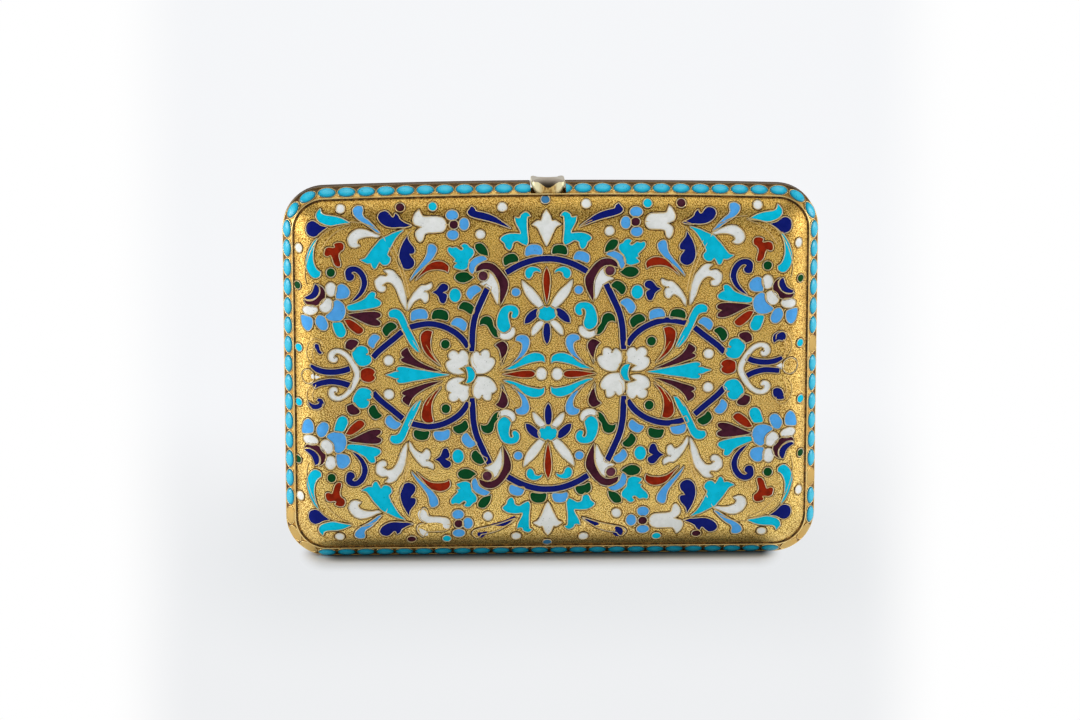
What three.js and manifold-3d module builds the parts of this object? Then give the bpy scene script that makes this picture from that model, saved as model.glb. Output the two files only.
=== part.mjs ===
// A cloisonne cigarette case of gilt silver, standing on its hinged long edge.
// Millimetres. X runs along the width, Y from the lid (front, -Y) to the base (back, +Y), +Z up.
// The parting plane is y = 0, and z = 0 is the surface the case stands on.

import * as THREE from 'three';
import { mergeVertices } from 'three/addons/utils/BufferGeometryUtils.js';
import Module from 'manifold-3d';

const wasm = await Module();
wasm.setup();

// Driving dimensions of the case
const caseWidth = 108;
const caseHeight = 76;
const caseDepth = 16;
const cornerRadius = 8.5;
const topBow = 0.7;

// Edge of each half, from the parting plane outwards
const rimDepth = 1.8;
const rimWall = 1.1;
const bandInset = 2.1;
const bandDepth = 2.2;
const bandWall = 0.55;
const rollAngle = THREE.MathUtils.degToRad(62);
const panelSheet = 0.8;
const cornerEase = 0.35;

// Enamelled bead border and the wire beside it
const stripThickness = 0.45;
const beadPitch = 4.0;
const beadLength = 3.4;
const beadWidth = 2.2;
const beadRise = 0.45;
const beadFoot = 0.2;
const wireRadius = 0.2;

// Clearances
const seatGap = 0.3;
const pinClearance = 0.1;

// Hinge
const knuckleRadius = 1.2;
const pinRadius = 0.6;
const knuckleCount = 5;
const hingeEndGap = 0.5;
const leafThickness = 0.5;
const leafLength = 2.5;
const pinRecess = 0.6;

// Inner flange that the lid closes over
const flangeWall = 0.6;
const flangeInset = 2.3;
const flangeReach = 1.2;
const flangeRoot = 2.0;
const flangeFoot = 11;

// Thumb piece and its notch
const thumbOffset = -0.6;
const thumbTopWidth = 6.9;
const thumbFootWidth = 4.6;
const thumbHeight = 3.15;
const thumbDepth = 7.1;
const thumbStand = 0.86;
const thumbDome = 0.35;
const scoopRadius = 2.3;
const scoopDepth = 2.5;
const pressTravel = 1.1;

// Catch inside the top edge
const stemRadius = 0.8;
const stemSetback = 0.9;
const bracketWidth = 20;
const bracketSheet = 0.6;
const bracketFoot = 3;
const hookSheet = 0.6;
const hookWidth = 3;
const toothBite = 0.8;
const strikeSheet = 0.6;
const strikeSetback = 1.75;
const strikeEar = 2.3;
const springSheet = 0.3;
const springWidth = 2.4;
const springRise = 1.6;
const rivetRadius = 0.4;
const rivetHead = 0.8;
const rivetHeadHeight = 0.4;

// Elastic that holds the cigarettes, and the staples that hold it
const strapWidth = 8;
const strapThickness = 0.5;
const strapSetback = 1.6;
const stapleWall = 0.6;
const stapleDepth = 1.2;

// Facets
const cornerSteps = 7;
const bowSteps = 8;
const rollSteps = 5;
const roundSides = 16;
const beadSides = 6;

const gilt = { color: 0xc79a3c, roughness: 0.35, metalness: 1.0 };
const giltInside = { color: 0xd8b35c, roughness: 0.25, metalness: 1.0 };
const turquoise = { color: 0x12b4d6, roughness: 0.25, metalness: 0.0 };
const paleSilver = { color: 0xb9a98c, roughness: 0.2, metalness: 1.0 };
const springSteel = { color: 0x8d8f92, roughness: 0.4, metalness: 1.0 };
const elastic = { color: 0xa9802f, roughness: 0.9, metalness: 0.0 };

const LID = -1;
const BASE = 1;

const halfWidth = caseWidth / 2;
const halfDepth = caseDepth / 2;
const topZ = caseHeight + topBow;

const caseGroup = new THREE.Group();

function add(name, geometry, finish) {
  const piece = new THREE.Mesh(geometry, new THREE.MeshStandardMaterial(finish));
  piece.name = name;
  caseGroup.add(piece);
  return piece;
}

// Manifold solids and back

function solid(geometry) {
  const bare = geometry.clone();
  bare.deleteAttribute('normal');
  bare.deleteAttribute('uv');
  const merged = mergeVertices(bare, 1e-5);
  const vertProperties = Float32Array.from(merged.attributes.position.array);
  const triVerts = Uint32Array.from(merged.index.array);
  return new wasm.Manifold(new wasm.Mesh({ numProp: 3, vertProperties, triVerts }));
}

function geometryOf(body) {
  const result = body.getMesh();
  const geometry = new THREE.BufferGeometry();
  const position = new Float32Array(result.numVert * 3);
  for (let i = 0; i < result.numVert; i += 1) {
    for (let axis = 0; axis < 3; axis += 1) {
      position[3 * i + axis] = result.vertProperties[i * result.numProp + axis];
    }
  }
  geometry.setAttribute('position', new THREE.BufferAttribute(position, 3));
  geometry.setIndex(Array.from(result.triVerts));
  return geometry;
}

function block(low, high) {
  const size = high.map((value, axis) => value - low[axis]);
  const box = new THREE.BoxGeometry(size[0], size[1], size[2]);
  box.translate(low[0] + size[0] / 2, low[1] + size[1] / 2, low[2] + size[2] / 2);
  return solid(box);
}

// A round bar along X, Y or Z between two stations
function bar(axis, radius, from, to, centre, sides = roundSides) {
  const rod = new THREE.CylinderGeometry(radius, radius, to - from, sides);
  if (axis === 'x') rod.rotateZ(-Math.PI / 2);
  if (axis === 'z') rod.rotateX(Math.PI / 2);
  const middle = (from + to) / 2;
  const place = { x: [middle, centre[0], centre[1]], z: [centre[0], centre[1], middle] };
  rod.translate(...place[axis]);
  return rod;
}

// A plate of the given thickness from a flat outline and its holes, all wound one way
function plate(points, holes, thickness) {
  const wound = (ring) => {
    const path = ring.map(([a, b]) => new THREE.Vector2(a, b));
    return THREE.ShapeUtils.isClockWise(path) ? path.reverse() : path;
  };
  const shape = new THREE.Shape(wound(points));
  shape.holes = holes.map((hole) => new THREE.Path(wound(hole)));
  return new THREE.ExtrudeGeometry(shape, { depth: thickness, bevelEnabled: false });
}

// A flat outline in the XZ plane, extruded from y = from to y = to
function plateAlongY(points, from, to, holes = []) {
  const sheet = plate(points, holes, to - from);
  sheet.rotateX(Math.PI / 2);
  sheet.translate(0, to, 0);
  return sheet;
}

// A flat outline in the YZ plane, extruded from x = from to x = to
function plateAlongX(points, from, to, holes = []) {
  const sheet = plate(points, holes, to - from);
  sheet.rotateX(Math.PI / 2);
  sheet.rotateZ(Math.PI / 2);
  sheet.translate(from, 0, 0);
  return sheet;
}

// The plan outline at a given inset from the rim, counter-clockwise from the bottom left.
// Down to the bead border the corners are true offsets, and over the panel they ease.
function outline(inset) {
  const eased = Math.max(0, inset - bandInset) * cornerEase;
  const radius = cornerRadius - Math.min(inset, bandInset) - eased;
  const right = halfWidth - inset - radius;
  const low = inset + radius;
  const high = caseHeight - inset - radius;
  const corners = [[right, low, -90], [right, high, 0], [-right, high, 90], [-right, low, 180]];
  const points = [];
  corners.forEach(([x, z, start], corner) => {
    for (let step = 0; step <= cornerSteps; step += 1) {
      const angle = THREE.MathUtils.degToRad(start + (90 * step) / cornerSteps);
      points.push([x + radius * Math.cos(angle), z + radius * Math.sin(angle)]);
    }
    if (corner !== 1) return;
    for (let step = 1; step < bowSteps; step += 1) {
      const share = 1 - (2 * step) / bowSteps;
      points.push([right * share, high + radius + topBow * (1 - share * share)]);
    }
  });
  return points;
}

// Rings of [inset, depth] pairs joined into one skin. Depth is measured from the parting plane
// into the half on the given side. A closed skin joins its last ring to its first, and an open
// one is closed by a flat face over each end ring.
function loft(profile, side, closed) {
  const rings = profile.map(([inset, depth]) => outline(inset).map(([x, z]) => [x, side * depth, z]));
  const count = rings[0].length;
  const position = rings.flat(2);
  const index = [];
  const face = (a, b, c) => index.push(...(side === LID ? [a, b, c] : [a, c, b]));
  const last = closed ? rings.length : rings.length - 1;
  for (let ring = 0; ring < last; ring += 1) {
    const next = (ring + 1) % rings.length;
    for (let i = 0; i < count; i += 1) {
      const j = (i + 1) % count;
      face(ring * count + i, ring * count + j, next * count + j);
      face(ring * count + i, next * count + j, next * count + i);
    }
  }
  if (!closed) {
    const cap = (ring, flip) => {
      const contour = rings[ring].map(([x, , z]) => new THREE.Vector2(x, z));
      THREE.ShapeUtils.triangulateShape(contour, []).forEach(([a, b, c]) => {
        const [p, q, r] = [a, b, c].map((i) => ring * count + i);
        if (flip) face(p, r, q);
        else face(p, q, r);
      });
    };
    cap(0, true);
    cap(rings.length - 1, false);
  }
  const geometry = new THREE.BufferGeometry();
  geometry.setAttribute('position', new THREE.Float32BufferAttribute(position, 3));
  geometry.setIndex(index);
  return geometry;
}

// Cross-section of a half, as [inset, depth]. The bead border lies on a slanting seat between
// the rim and the foot of the panel, and the panel rolls up from there to its flat face.
const bandWidth = Math.hypot(bandInset, bandDepth);
const along = [bandInset / bandWidth, bandDepth / bandWidth];
const into = [along[1], -along[0]];
const offsetBy = ([inset, depth], amount) => [inset + into[0] * amount, depth + into[1] * amount];
const slideBy = ([inset, depth], amount) => [inset + along[0] * amount, depth + along[1] * amount];
const onSlope = ([inset, depth], wanted) => depth + ((wanted - inset) * bandDepth) / bandInset;

const bandOuter = [0, rimDepth];
const bandInner = [bandInset, rimDepth + bandDepth];
const seatDrop = stripThickness + seatGap;
const seatInner = offsetBy(bandInner, seatDrop);
const seatAtRim = [0, onSlope(seatInner, 0)];
const wallInner = offsetBy(bandInner, seatDrop + bandWall);
const wallAtRim = [rimWall, onSlope(wallInner, rimWall)];

const rollRadius = (halfDepth - rimDepth - bandDepth) / (1 - Math.cos(rollAngle));
const flatInset = bandInset + rollRadius * Math.sin(rollAngle);
const rollCentre = halfDepth - rollRadius;
const innerRadius = rollRadius - panelSheet;
const innerAngle = Math.min(rollAngle, Math.asin((flatInset - wallInner[0]) / innerRadius));

function roll(radius, angle, steps) {
  return Array.from({ length: steps + 1 }, (_, step) => {
    const turn = angle * (1 - step / steps);
    return [flatInset - radius * Math.sin(turn), rollCentre + radius * Math.cos(turn)];
  });
}

// Inside depth of a half at a given inset, and inside inset at a given depth on the slope
const innerDepthAt = (inset) => {
  if (inset < wallInner[0]) return onSlope(wallInner, inset);
  const sine = Math.max(0, flatInset - inset) / innerRadius;
  return rollCentre + Math.sqrt(1 - sine * sine) * innerRadius;
};
const innerInsetAt = (depth) => {
  const sloped = wallInner[0] + ((depth - wallInner[1]) * bandInset) / bandDepth;
  return Math.min(wallInner[0], Math.max(rimWall, sloped));
};

const innerProfile = roll(innerRadius, innerAngle, rollSteps - 1).reverse();
const outerProfile = roll(rollRadius, rollAngle, rollSteps);
const shellProfile = [
  ...innerProfile,
  wallInner,
  wallAtRim,
  [rimWall, 0],
  [0, 0],
  seatAtRim,
  seatInner,
  ...outerProfile,
];

// Hinge line, and the room that both halves leave round it so that the lid can swing
const hingeZ = knuckleRadius;
const hingeLength = caseWidth - 2 * cornerRadius - 2 * hingeEndGap;
const swingRoom = bar('x', knuckleRadius + seatGap, -halfWidth, halfWidth, [0, hingeZ]);
const swingDepth = rimDepth - seatGap + 0.1;
const swingSlot = block([-halfWidth, -swingDepth, -1], [halfWidth, swingDepth, hingeZ]);

// Notch in the top edge for the thumb piece
const thumbTop = topZ + thumbStand;
const thumbFoot = thumbTop - thumbHeight;
const notchFloor = thumbFoot - pressTravel - seatGap;
const notchHalf = thumbTopWidth / 2 + seatGap;
const notchDepth = thumbDepth / 2 + seatGap;
const notchCorner = [thumbOffset + notchHalf, notchDepth, topZ + 1];
const notch = block([thumbOffset - notchHalf, -notchDepth, notchFloor], notchCorner);

function shell(side) {
  return solid(loft(shellProfile, side, false)).subtract(solid(swingRoom)).subtract(swingSlot)
    .subtract(notch);
}

// One domed bead, long axis along X and its crown towards +Z, with a foot sunk in the strip
function beadGeometry() {
  const profile = [[0, -beadFoot], [1.05, -beadFoot], [0.6, beadRise * 0.8], [0, beadRise]];
  const dome = new THREE.LatheGeometry(profile.map(([r, h]) => new THREE.Vector2(r, h)), beadSides);
  dome.rotateX(Math.PI / 2);
  dome.scale(beadLength / 2, beadWidth / 2, 1);
  return dome;
}

// Points and directions at equal steps along the middle of the bead border
function beadPlaces() {
  const ring = outline(bandInset / 2).map(([x, z]) => new THREE.Vector2(x, z));
  const lengths = ring.map((point, i) => point.distanceTo(ring[(i + 1) % ring.length]));
  const total = lengths.reduce((sum, length) => sum + length, 0);
  const count = Math.round(total / beadPitch);
  return Array.from({ length: count }, (_, bead) => {
    let travel = (total * (bead + 0.5)) / count;
    let i = 0;
    while (travel > lengths[i]) {
      travel -= lengths[i];
      i += 1;
    }
    const next = ring[(i + 1) % ring.length];
    const point = ring[i].clone().lerp(next, travel / lengths[i]);
    return { point, tangent: next.clone().sub(ring[i]).normalize() };
  });
}

function beadBand(side) {
  const inner = slideBy(bandInner, -seatGap);
  const innerFoot = offsetBy(inner, stripThickness);
  const outerFoot = [0, onSlope(innerFoot, 0)];
  const strip = solid(loft([outerFoot, bandOuter, inner, innerFoot], side, true));
  const crown = new THREE.Vector3();
  const beads = beadPlaces().map(({ point, tangent }) => {
    const inward = new THREE.Vector3(-tangent.y, 0, tangent.x);
    const across = inward.multiplyScalar(along[0]).add(new THREE.Vector3(0, side * along[1], 0));
    const run = new THREE.Vector3(tangent.x, 0, tangent.y);
    crown.crossVectors(run, across).multiplyScalar(-side).normalize();
    const width = across.clone().multiplyScalar(side === LID ? 1 : -1);
    const middle = rimDepth + bandDepth / 2;
    const frame = new THREE.Matrix4().makeBasis(run, width, crown);
    frame.setPosition(point.x, side * middle, point.y);
    return solid(beadGeometry().applyMatrix4(frame));
  });
  return beads.reduce((whole, bead) => whole.add(bead), strip).subtract(swingSlot).subtract(notch);
}

// Wire that frames the panel, lying over the joint between the bead border and the panel's foot
function panelWire(side) {
  const centre = offsetBy(slideBy(bandInner, -seatGap / 2), -wireRadius - 0.05);
  const ring = [[-1, 0], [0, 1], [1, 0], [0, -1]];
  const section = ring.map(([a, b]) => offsetBy(slideBy(centre, a * wireRadius), -b * wireRadius));
  return loft(section, side, true);
}

// One knuckle with its leaf, as a single section along the hinge. The leaf lies on the sloping
// inside wall of its half.
function knuckle(side, from, to) {
  const wallStart = [wallAtRim[1], wallAtRim[0]];
  const slope = new THREE.Vector2(along[1], along[0]);
  const inward = new THREE.Vector2(-slope.y, slope.x);
  const lower = new THREE.Vector2(...wallStart).addScaledVector(inward, seatGap);
  const upper = lower.clone().addScaledVector(inward, leafThickness);
  const axis = new THREE.Vector2(0, hingeZ);
  const meet = (point) => {
    const offset = point.clone().sub(axis);
    const half = offset.dot(slope);
    const root = Math.sqrt(half * half - offset.lengthSq() + knuckleRadius * knuckleRadius);
    return point.clone().addScaledVector(slope, root - half);
  };
  const lowerRoot = meet(lower);
  const upperRoot = meet(upper);
  const angleOf = (point) => Math.atan2(point.y - axis.y, point.x - axis.x);
  const start = angleOf(upperRoot);
  const sweep = 2 * Math.PI - (start - angleOf(lowerRoot));
  const outlinePoints = [];
  for (let step = 0; step <= roundSides; step += 1) {
    const angle = start + (sweep * step) / roundSides;
    outlinePoints.push([knuckleRadius * Math.cos(angle), hingeZ + knuckleRadius * Math.sin(angle)]);
  }
  const lowerEnd = lowerRoot.clone().addScaledVector(slope, leafLength);
  const upperEnd = upperRoot.clone().addScaledVector(slope, leafLength);
  outlinePoints.push([lowerEnd.x, lowerEnd.y], [upperEnd.x, upperEnd.y]);
  const bore = Array.from({ length: roundSides }, (_, i) => {
    const angle = (2 * Math.PI * i) / roundSides;
    const radius = pinRadius + pinClearance;
    return [radius * Math.cos(angle), hingeZ + radius * Math.sin(angle)];
  });
  const mirrored = (points) => points.map(([y, z]) => [side * y, z]);
  return plateAlongX(mirrored(outlinePoints), from, to, [mirrored(bore)]);
}

// The inner flange on the base, in two lengths that stop either side of the catch
const catchHalf = Math.max(notchHalf + strikeEar, bracketWidth / 2) + 2 * seatGap;

function flange(hand) {
  const outer = flangeInset;
  const inner = flangeInset + flangeWall;
  const section = [[inner, -flangeReach], [outer, -flangeReach], [outer, flangeRoot], [inner, flangeRoot]];
  const ring = solid(loft(section, BASE, true));
  const edge = thumbOffset + hand * catchHalf;
  const far = hand * (halfWidth + 1);
  const reach = [-caseDepth, flangeFoot];
  const room = block([Math.min(edge, far), reach[0], reach[1]], [Math.max(edge, far), caseDepth, topZ]);
  return ring.intersect(room);
}

// Thumb piece: flared sides, a low dome on top and a scoop worn into each face
function thumbPiece() {
  const half = thumbTopWidth / 2;
  const foot = thumbFootWidth / 2;
  const shoulder = thumbTop - thumbDome;
  const side = new THREE.QuadraticBezierCurve(
    new THREE.Vector2(foot, thumbFoot),
    new THREE.Vector2(foot + (half - foot) * 0.1, thumbFoot + thumbHeight * 0.6),
    new THREE.Vector2(half, shoulder),
  );
  const rightSide = side.getPoints(5).map((point) => [point.x, point.y]);
  const crown = [0.75, 0.4, 0, -0.4, -0.75].map((share) => [
    half * share,
    thumbTop - thumbDome * share * share * 0.8,
  ]);
  const leftSide = rightSide.map(([x, z]) => [-x, z]).reverse();
  const points = [...rightSide, ...crown, ...leftSide].map(([x, z]) => [x + thumbOffset, z]);
  const body = solid(plateAlongY(points, -thumbDepth / 2, thumbDepth / 2));
  const scoops = [LID, BASE].map((way) => {
    const cone = new THREE.ConeGeometry(scoopRadius, scoopDepth, roundSides);
    cone.rotateX(-Math.PI / 2);
    cone.translate(thumbOffset, (way * thumbDepth) / 2 + way * 0.6, thumbTop - scoopDepth / 2 + 0.05);
    return solid(cone);
  });
  return scoops.reduce((whole, scoop) => whole.subtract(scoop), body);
}

// Heights of the catch, from the notch floor down
const plateTop = notchFloor - 0.1;
const plateBottom = plateTop - bracketSheet;
const hookTop = plateBottom - seatGap;
const hookBottom = hookTop - hookSheet;
const strikeBottom = hookTop + seatGap;
const toothTop = strikeBottom + toothBite;
const strikeFront = strikeSetback + strikeSheet;
const crownTop = hookBottom - seatGap;
const springFoot = crownTop - springRise - springSheet;
const footTop = springFoot - seatGap;
const footBottom = footTop - bracketSheet;
const bracketBack = innerDepthAt(topZ - plateTop) - seatGap;
const bracketFront = stemSetback - stemRadius - seatGap - bracketSheet - 0.2;
const stemBore = stemRadius + seatGap;

function bracket() {
  const outer = bracketWidth / 2;
  const inner = outer - bracketSheet;
  const toe = outer - bracketFoot;
  const right = [[toe, footBottom], [outer, footBottom], [outer, plateTop]];
  const rightInside = [[inner, plateBottom], [inner, footTop], [toe, footTop]];
  const mirror = (points) => points.map(([x, z]) => [-x, z]).reverse();
  const points = [...right, ...mirror(right), ...mirror(rightInside), ...rightInside];
  const placed = points.map(([x, z]) => [x + thumbOffset, z]);
  const frame = solid(plateAlongY(placed, bracketFront, bracketBack));
  const bore = bar('z', stemBore, plateBottom - 1, plateTop + 1, [thumbOffset, stemSetback], 12);
  const holes = [-1, 1].map((hand) => rivetHole(hand));
  return holes.reduce((whole, hole) => whole.subtract(hole), frame.subtract(solid(bore)));
}

// Where the rivets hold the ends of the spring down on the bracket's feet
const rivetX = bracketWidth / 2 - bracketFoot / 2 - bracketSheet / 2;
const springMiddle = stemSetback;

function rivetHole(hand) {
  const place = [thumbOffset + hand * rivetX, springMiddle];
  const low = footBottom - 0.2;
  const high = springFoot + springSheet + 0.2;
  return solid(bar('z', rivetRadius + 0.2, low, high, place, 10));
}

function rivet(hand) {
  const low = footBottom - 0.2;
  const high = springFoot + springSheet + 0.2;
  const profile = [
    [0, low - rivetHeadHeight],
    [rivetHead * 0.7, low - rivetHeadHeight],
    [rivetHead, low],
    [rivetRadius, low],
    [rivetRadius, high],
    [rivetHead, high],
    [rivetHead * 0.7, high + rivetHeadHeight],
    [0, high + rivetHeadHeight],
  ];
  const turned = new THREE.LatheGeometry(profile.map(([r, z]) => new THREE.Vector2(r, z)), 10);
  turned.rotateX(Math.PI / 2);
  turned.translate(thumbOffset + hand * rivetX, springMiddle, 0);
  return turned;
}

// Arched leaf spring: flat ends under the rivets and a crown under the hook
function spring() {
  const end = bracketWidth / 2 - bracketSheet - seatGap;
  const flat = rivetX - rivetHead - 0.2;
  const arch = Array.from({ length: 13 }, (_, i) => {
    const share = -1 + i / 6;
    return [flat * share, springFoot + (springRise * (1 + Math.cos(Math.PI * share))) / 2];
  });
  const lower = [[-end, springFoot], ...arch, [end, springFoot]];
  const upper = lower.map(([x, z]) => [x, z + springSheet]).reverse();
  const points = [...lower, ...upper].map(([x, z]) => [x + thumbOffset, z]);
  const from = springMiddle - springWidth / 2;
  const leaf = solid(plateAlongY(points, from, from + springWidth));
  return [-1, 1].reduce((whole, hand) => whole.subtract(rivetHole(hand)), leaf);
}

// Hook on the foot of the stem, its tooth behind the strike on the lid
function hook() {
  const back = stemSetback + stemRadius + 0.2;
  const toothBack = -(strikeFront + seatGap);
  const toothFront = toothBack - hookSheet;
  const points = [
    [back, hookBottom],
    [back, hookTop],
    [toothBack, hookTop],
    [toothBack, toothTop],
    [toothFront, toothTop - hookSheet * 0.7],
    [toothFront, hookBottom],
  ];
  return plateAlongX(points, thumbOffset - hookWidth / 2, thumbOffset + hookWidth / 2);
}

// Strike inside the lid: two ears on the top wall and a bar across below the notch
function strike() {
  const earTop = topZ - innerInsetAt(strikeSetback) - strikeSheet - seatGap;
  const inner = notchHalf + seatGap;
  const outer = inner + strikeEar;
  const right = [[outer, strikeBottom], [outer, earTop], [inner, earTop], [inner, strikeBottom + strikeSheet]];
  const left = right.map(([x, z]) => [-x, z]).reverse();
  const points = [...right, ...left].map(([x, z]) => [x + thumbOffset, z]);
  return plateAlongY(points, -strikeFront, -strikeSetback);
}

// Elastic strap across a half, threaded through a staple at each end
const stapleOuter = halfWidth - Math.max(flangeInset + flangeWall, wallInner[0]) - seatGap;
const stapleInner = stapleOuter - stapleDepth;
const strapMiddle = caseHeight / 2;

function strap(side) {
  const end = stapleOuter + seatGap - 0.1;
  const near = side * strapSetback;
  const far = side * (strapSetback + strapThickness);
  const half = strapWidth / 2;
  const outlinePoints = [
    [-end, strapMiddle - half],
    [end, strapMiddle - half],
    [end, strapMiddle + half],
    [-end, strapMiddle + half],
  ];
  return plateAlongY(outlinePoints, Math.min(near, far), Math.max(near, far));
}

function staple(side, hand) {
  const frameOf = (spread) => {
    const near = side * (strapSetback - spread);
    const far = side * (strapSetback + strapThickness + spread);
    const half = strapWidth / 2 + spread;
    return [
      [near, strapMiddle - half],
      [far, strapMiddle - half],
      [far, strapMiddle + half],
      [near, strapMiddle + half],
    ];
  };
  const from = hand > 0 ? stapleInner : -stapleOuter;
  return plateAlongX(frameOf(seatGap + stapleWall * 0.8), from, from + stapleDepth, [frameOf(seatGap)]);
}

// The halves and what is soldered to them
const halves = [
  ['lid', LID],
  ['base', BASE],
];
halves.forEach(([half, side]) => {
  add(`${half}_shell`, geometryOf(shell(side)), gilt);
  add(`${half}_bead_band`, geometryOf(beadBand(side)), turquoise);
  add(`${half}_panel_wire`, geometryOf(solid(panelWire(side)).subtract(notch)), gilt);
  add(`${half}_strap`, strap(side), elastic);
  add(`${half}_staple_left`, staple(side, -1), giltInside);
  add(`${half}_staple_right`, staple(side, 1), giltInside);
});

// Knuckles in turn on base and lid, all on one pin
const knucklePitch = (hingeLength + seatGap) / knuckleCount;
for (let i = 0; i < knuckleCount; i += 1) {
  const side = i % 2 === 0 ? BASE : LID;
  const half = side === BASE ? 'base' : 'lid';
  const from = -hingeLength / 2 + i * knucklePitch;
  add(`${half}_knuckle_${i + 1}`, knuckle(side, from, from + knucklePitch - seatGap), gilt);
}
const pinHalf = hingeLength / 2 - pinRecess;
add('hinge_pin', bar('x', pinRadius, -pinHalf, pinHalf, [0, hingeZ]), paleSilver);

add('base_flange_left', geometryOf(flange(-1)), giltInside);
add('base_flange_right', geometryOf(flange(1)), giltInside);

// Catch
add('lid_strike', strike(), giltInside);
add('thumb_piece', geometryOf(thumbPiece()), paleSilver);
const stemTop = thumbFoot - seatGap;
const stemPlace = [thumbOffset, stemSetback];
add('thumb_stem', bar('z', stemRadius, hookTop + seatGap, stemTop, stemPlace, 12), paleSilver);
add('catch_hook', hook(), giltInside);
add('catch_bracket', geometryOf(bracket()), giltInside);
add('catch_spring', geometryOf(spring()), springSteel);
add('catch_rivet_left', rivet(-1), paleSilver);
add('catch_rivet_right', rivet(1), paleSilver);

export default caseGroup;
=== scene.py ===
"""Cloisonne cigarette case: dresses the CAD frame with gilt sheet, wire, enamel, elastic and a studio."""

import math

import bmesh
import bpy
from bpy.props import FloatProperty, FloatVectorProperty
from mathutils import Matrix, Vector


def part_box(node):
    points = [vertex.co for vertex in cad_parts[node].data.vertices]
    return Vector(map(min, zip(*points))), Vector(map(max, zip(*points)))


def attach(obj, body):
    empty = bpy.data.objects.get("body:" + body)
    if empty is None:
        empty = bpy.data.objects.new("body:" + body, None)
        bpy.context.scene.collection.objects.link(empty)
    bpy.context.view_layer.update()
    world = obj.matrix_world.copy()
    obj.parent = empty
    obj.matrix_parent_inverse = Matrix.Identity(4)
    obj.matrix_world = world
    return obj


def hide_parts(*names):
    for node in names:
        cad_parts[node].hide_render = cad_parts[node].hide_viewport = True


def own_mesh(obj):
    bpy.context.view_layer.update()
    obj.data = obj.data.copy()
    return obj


bl_info = {
    "name": "Cloisonne cigarette case",
    "version": (1, 0, 0),
    "blender": (4, 5, 0),
    "location": "View3D > Sidebar > Case",
    "description": "Builds the gilt, enamelled look of a hinged cigarette case over its CAD frame",
    "category": "Object",
}

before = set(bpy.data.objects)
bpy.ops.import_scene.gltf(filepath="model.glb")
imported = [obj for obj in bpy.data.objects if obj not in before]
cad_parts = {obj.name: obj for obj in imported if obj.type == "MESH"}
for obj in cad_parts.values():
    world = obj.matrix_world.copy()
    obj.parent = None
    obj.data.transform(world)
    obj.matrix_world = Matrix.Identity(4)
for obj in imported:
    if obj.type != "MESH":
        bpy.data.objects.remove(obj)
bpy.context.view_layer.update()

MM = 0.001
LID = -1
BASE = 1
BODY = {LID: "lid", BASE: "base"}


def corners(node):
    """Low and high corner of a node of the CAD, in millimetres."""
    return [Vector(corner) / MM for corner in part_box(node)]


# Sizes of the CAD, in millimetres
HALF_WIDTH = 54.0
HEIGHT = 76.0
HALF_DEPTH = 8.0
CORNER = 8.5
TOP_BOW = 0.7
RIM_DEPTH = 1.8
RIM_WALL = 1.1
BAND_INSET = 2.1
BAND_DEPTH = 2.2
BAND_THICK = 0.42
ROLL_ANGLE = math.radians(62)
SHEET = 0.8
CORNER_EASE = 0.35
SEAT_DROP = 0.75
SEAT_WALL = 0.55
HINGE_Z = 1.2
KNUCKLE_RADIUS = 1.2
PIN_RADIUS = 0.6
THUMB_X = -0.6
SPRING_SHEET = 0.3
SPRING_ARCH = 7.2
RIVET_AT = 8.2
RIVET_HOLE = 0.6

# The notch for the thumb piece: its half width on each level from its floor to above the case
NOTCH_HALF = 3.57
NOTCH_LEVELS = ((73.01, 2.9), (73.6, 3.15), (74.2, 3.42), (74.6, NOTCH_HALF), (80.0, NOTCH_HALF))
NOTCH_DEPTH = corners("thumb_piece")[1].y + 0.3
NEAR_TOP = 70.0

# What is cut away at the hinge: a slot through both borders, and room for the sheets to swing
PAST_ENDS = 60.0
HINGE_SLOT = ((-PAST_ENDS, -1.6, -1.0), (PAST_ENDS, 1.6, HINGE_Z))
HINGE_SWING = ((-PAST_ENDS, -1.35, 0.0), (PAST_ENDS, 1.35, HINGE_Z + 0.75))

ROLL = (HALF_DEPTH - RIM_DEPTH - BAND_DEPTH) / (1 - math.cos(ROLL_ANGLE))
FLAT_INSET = BAND_INSET + ROLL * math.sin(ROLL_ANGLE)
ROLL_CENTRE = HALF_DEPTH - ROLL
BAND_WIDTH = math.hypot(BAND_INSET, BAND_DEPTH)
ALONG = (BAND_INSET / BAND_WIDTH, BAND_DEPTH / BAND_WIDTH)
SLOPE_OUT = (-ALONG[1], ALONG[0])

# Half the length of the line that the case stands on
FOOT_HALF = 43.0

# The ornament's ground lies this far below the sheet of the CAD, so that the wires stay inside its size
GROUND_DROP = 0.2

# Distance of the first bead to the left of the thumb piece, and of the last to its right
FIRST_BEAD = 5.0
LAST_BEAD = 3.05
BEAD_INSET = 1.0
LOST_BEADS = ((-52.9, 7.6), (-51.9, 4.4), (-48.9, 1.7), (51.5, 5.2), (48.8, 2.2), (53.0, 17.5), (53.0, 42.6))

# Middle of the ornament, how much wider it is set on the right and below, and how it runs out of true
PATTERN_X = -0.6
PATTERN_Z = 38.05
STRETCH = 1.02
DRIFT_X = (-0.43, 0.14, -0.17, 0.1, -0.27, 0.04)
DRIFT_Z = (0.7, 0.36, 0.11, 0.59, 0.07, 0.12)
DRIFT_SPAN = (50.0, 35.0)

# A point at which an outline turns sharply
TIP = "tip"

# The quarters of the panel that a figure is laid in, as (across, up), the first where it was drawn
FOURFOLD = ((1, 1), (-1, 1), (1, -1), (-1, -1))
SIDEWAYS = ((1, 1), (-1, 1))
UPDOWN = ((1, 1), (1, -1))
HERE = ((1, 1),)
ACROSS, UP = 0, 1


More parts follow.
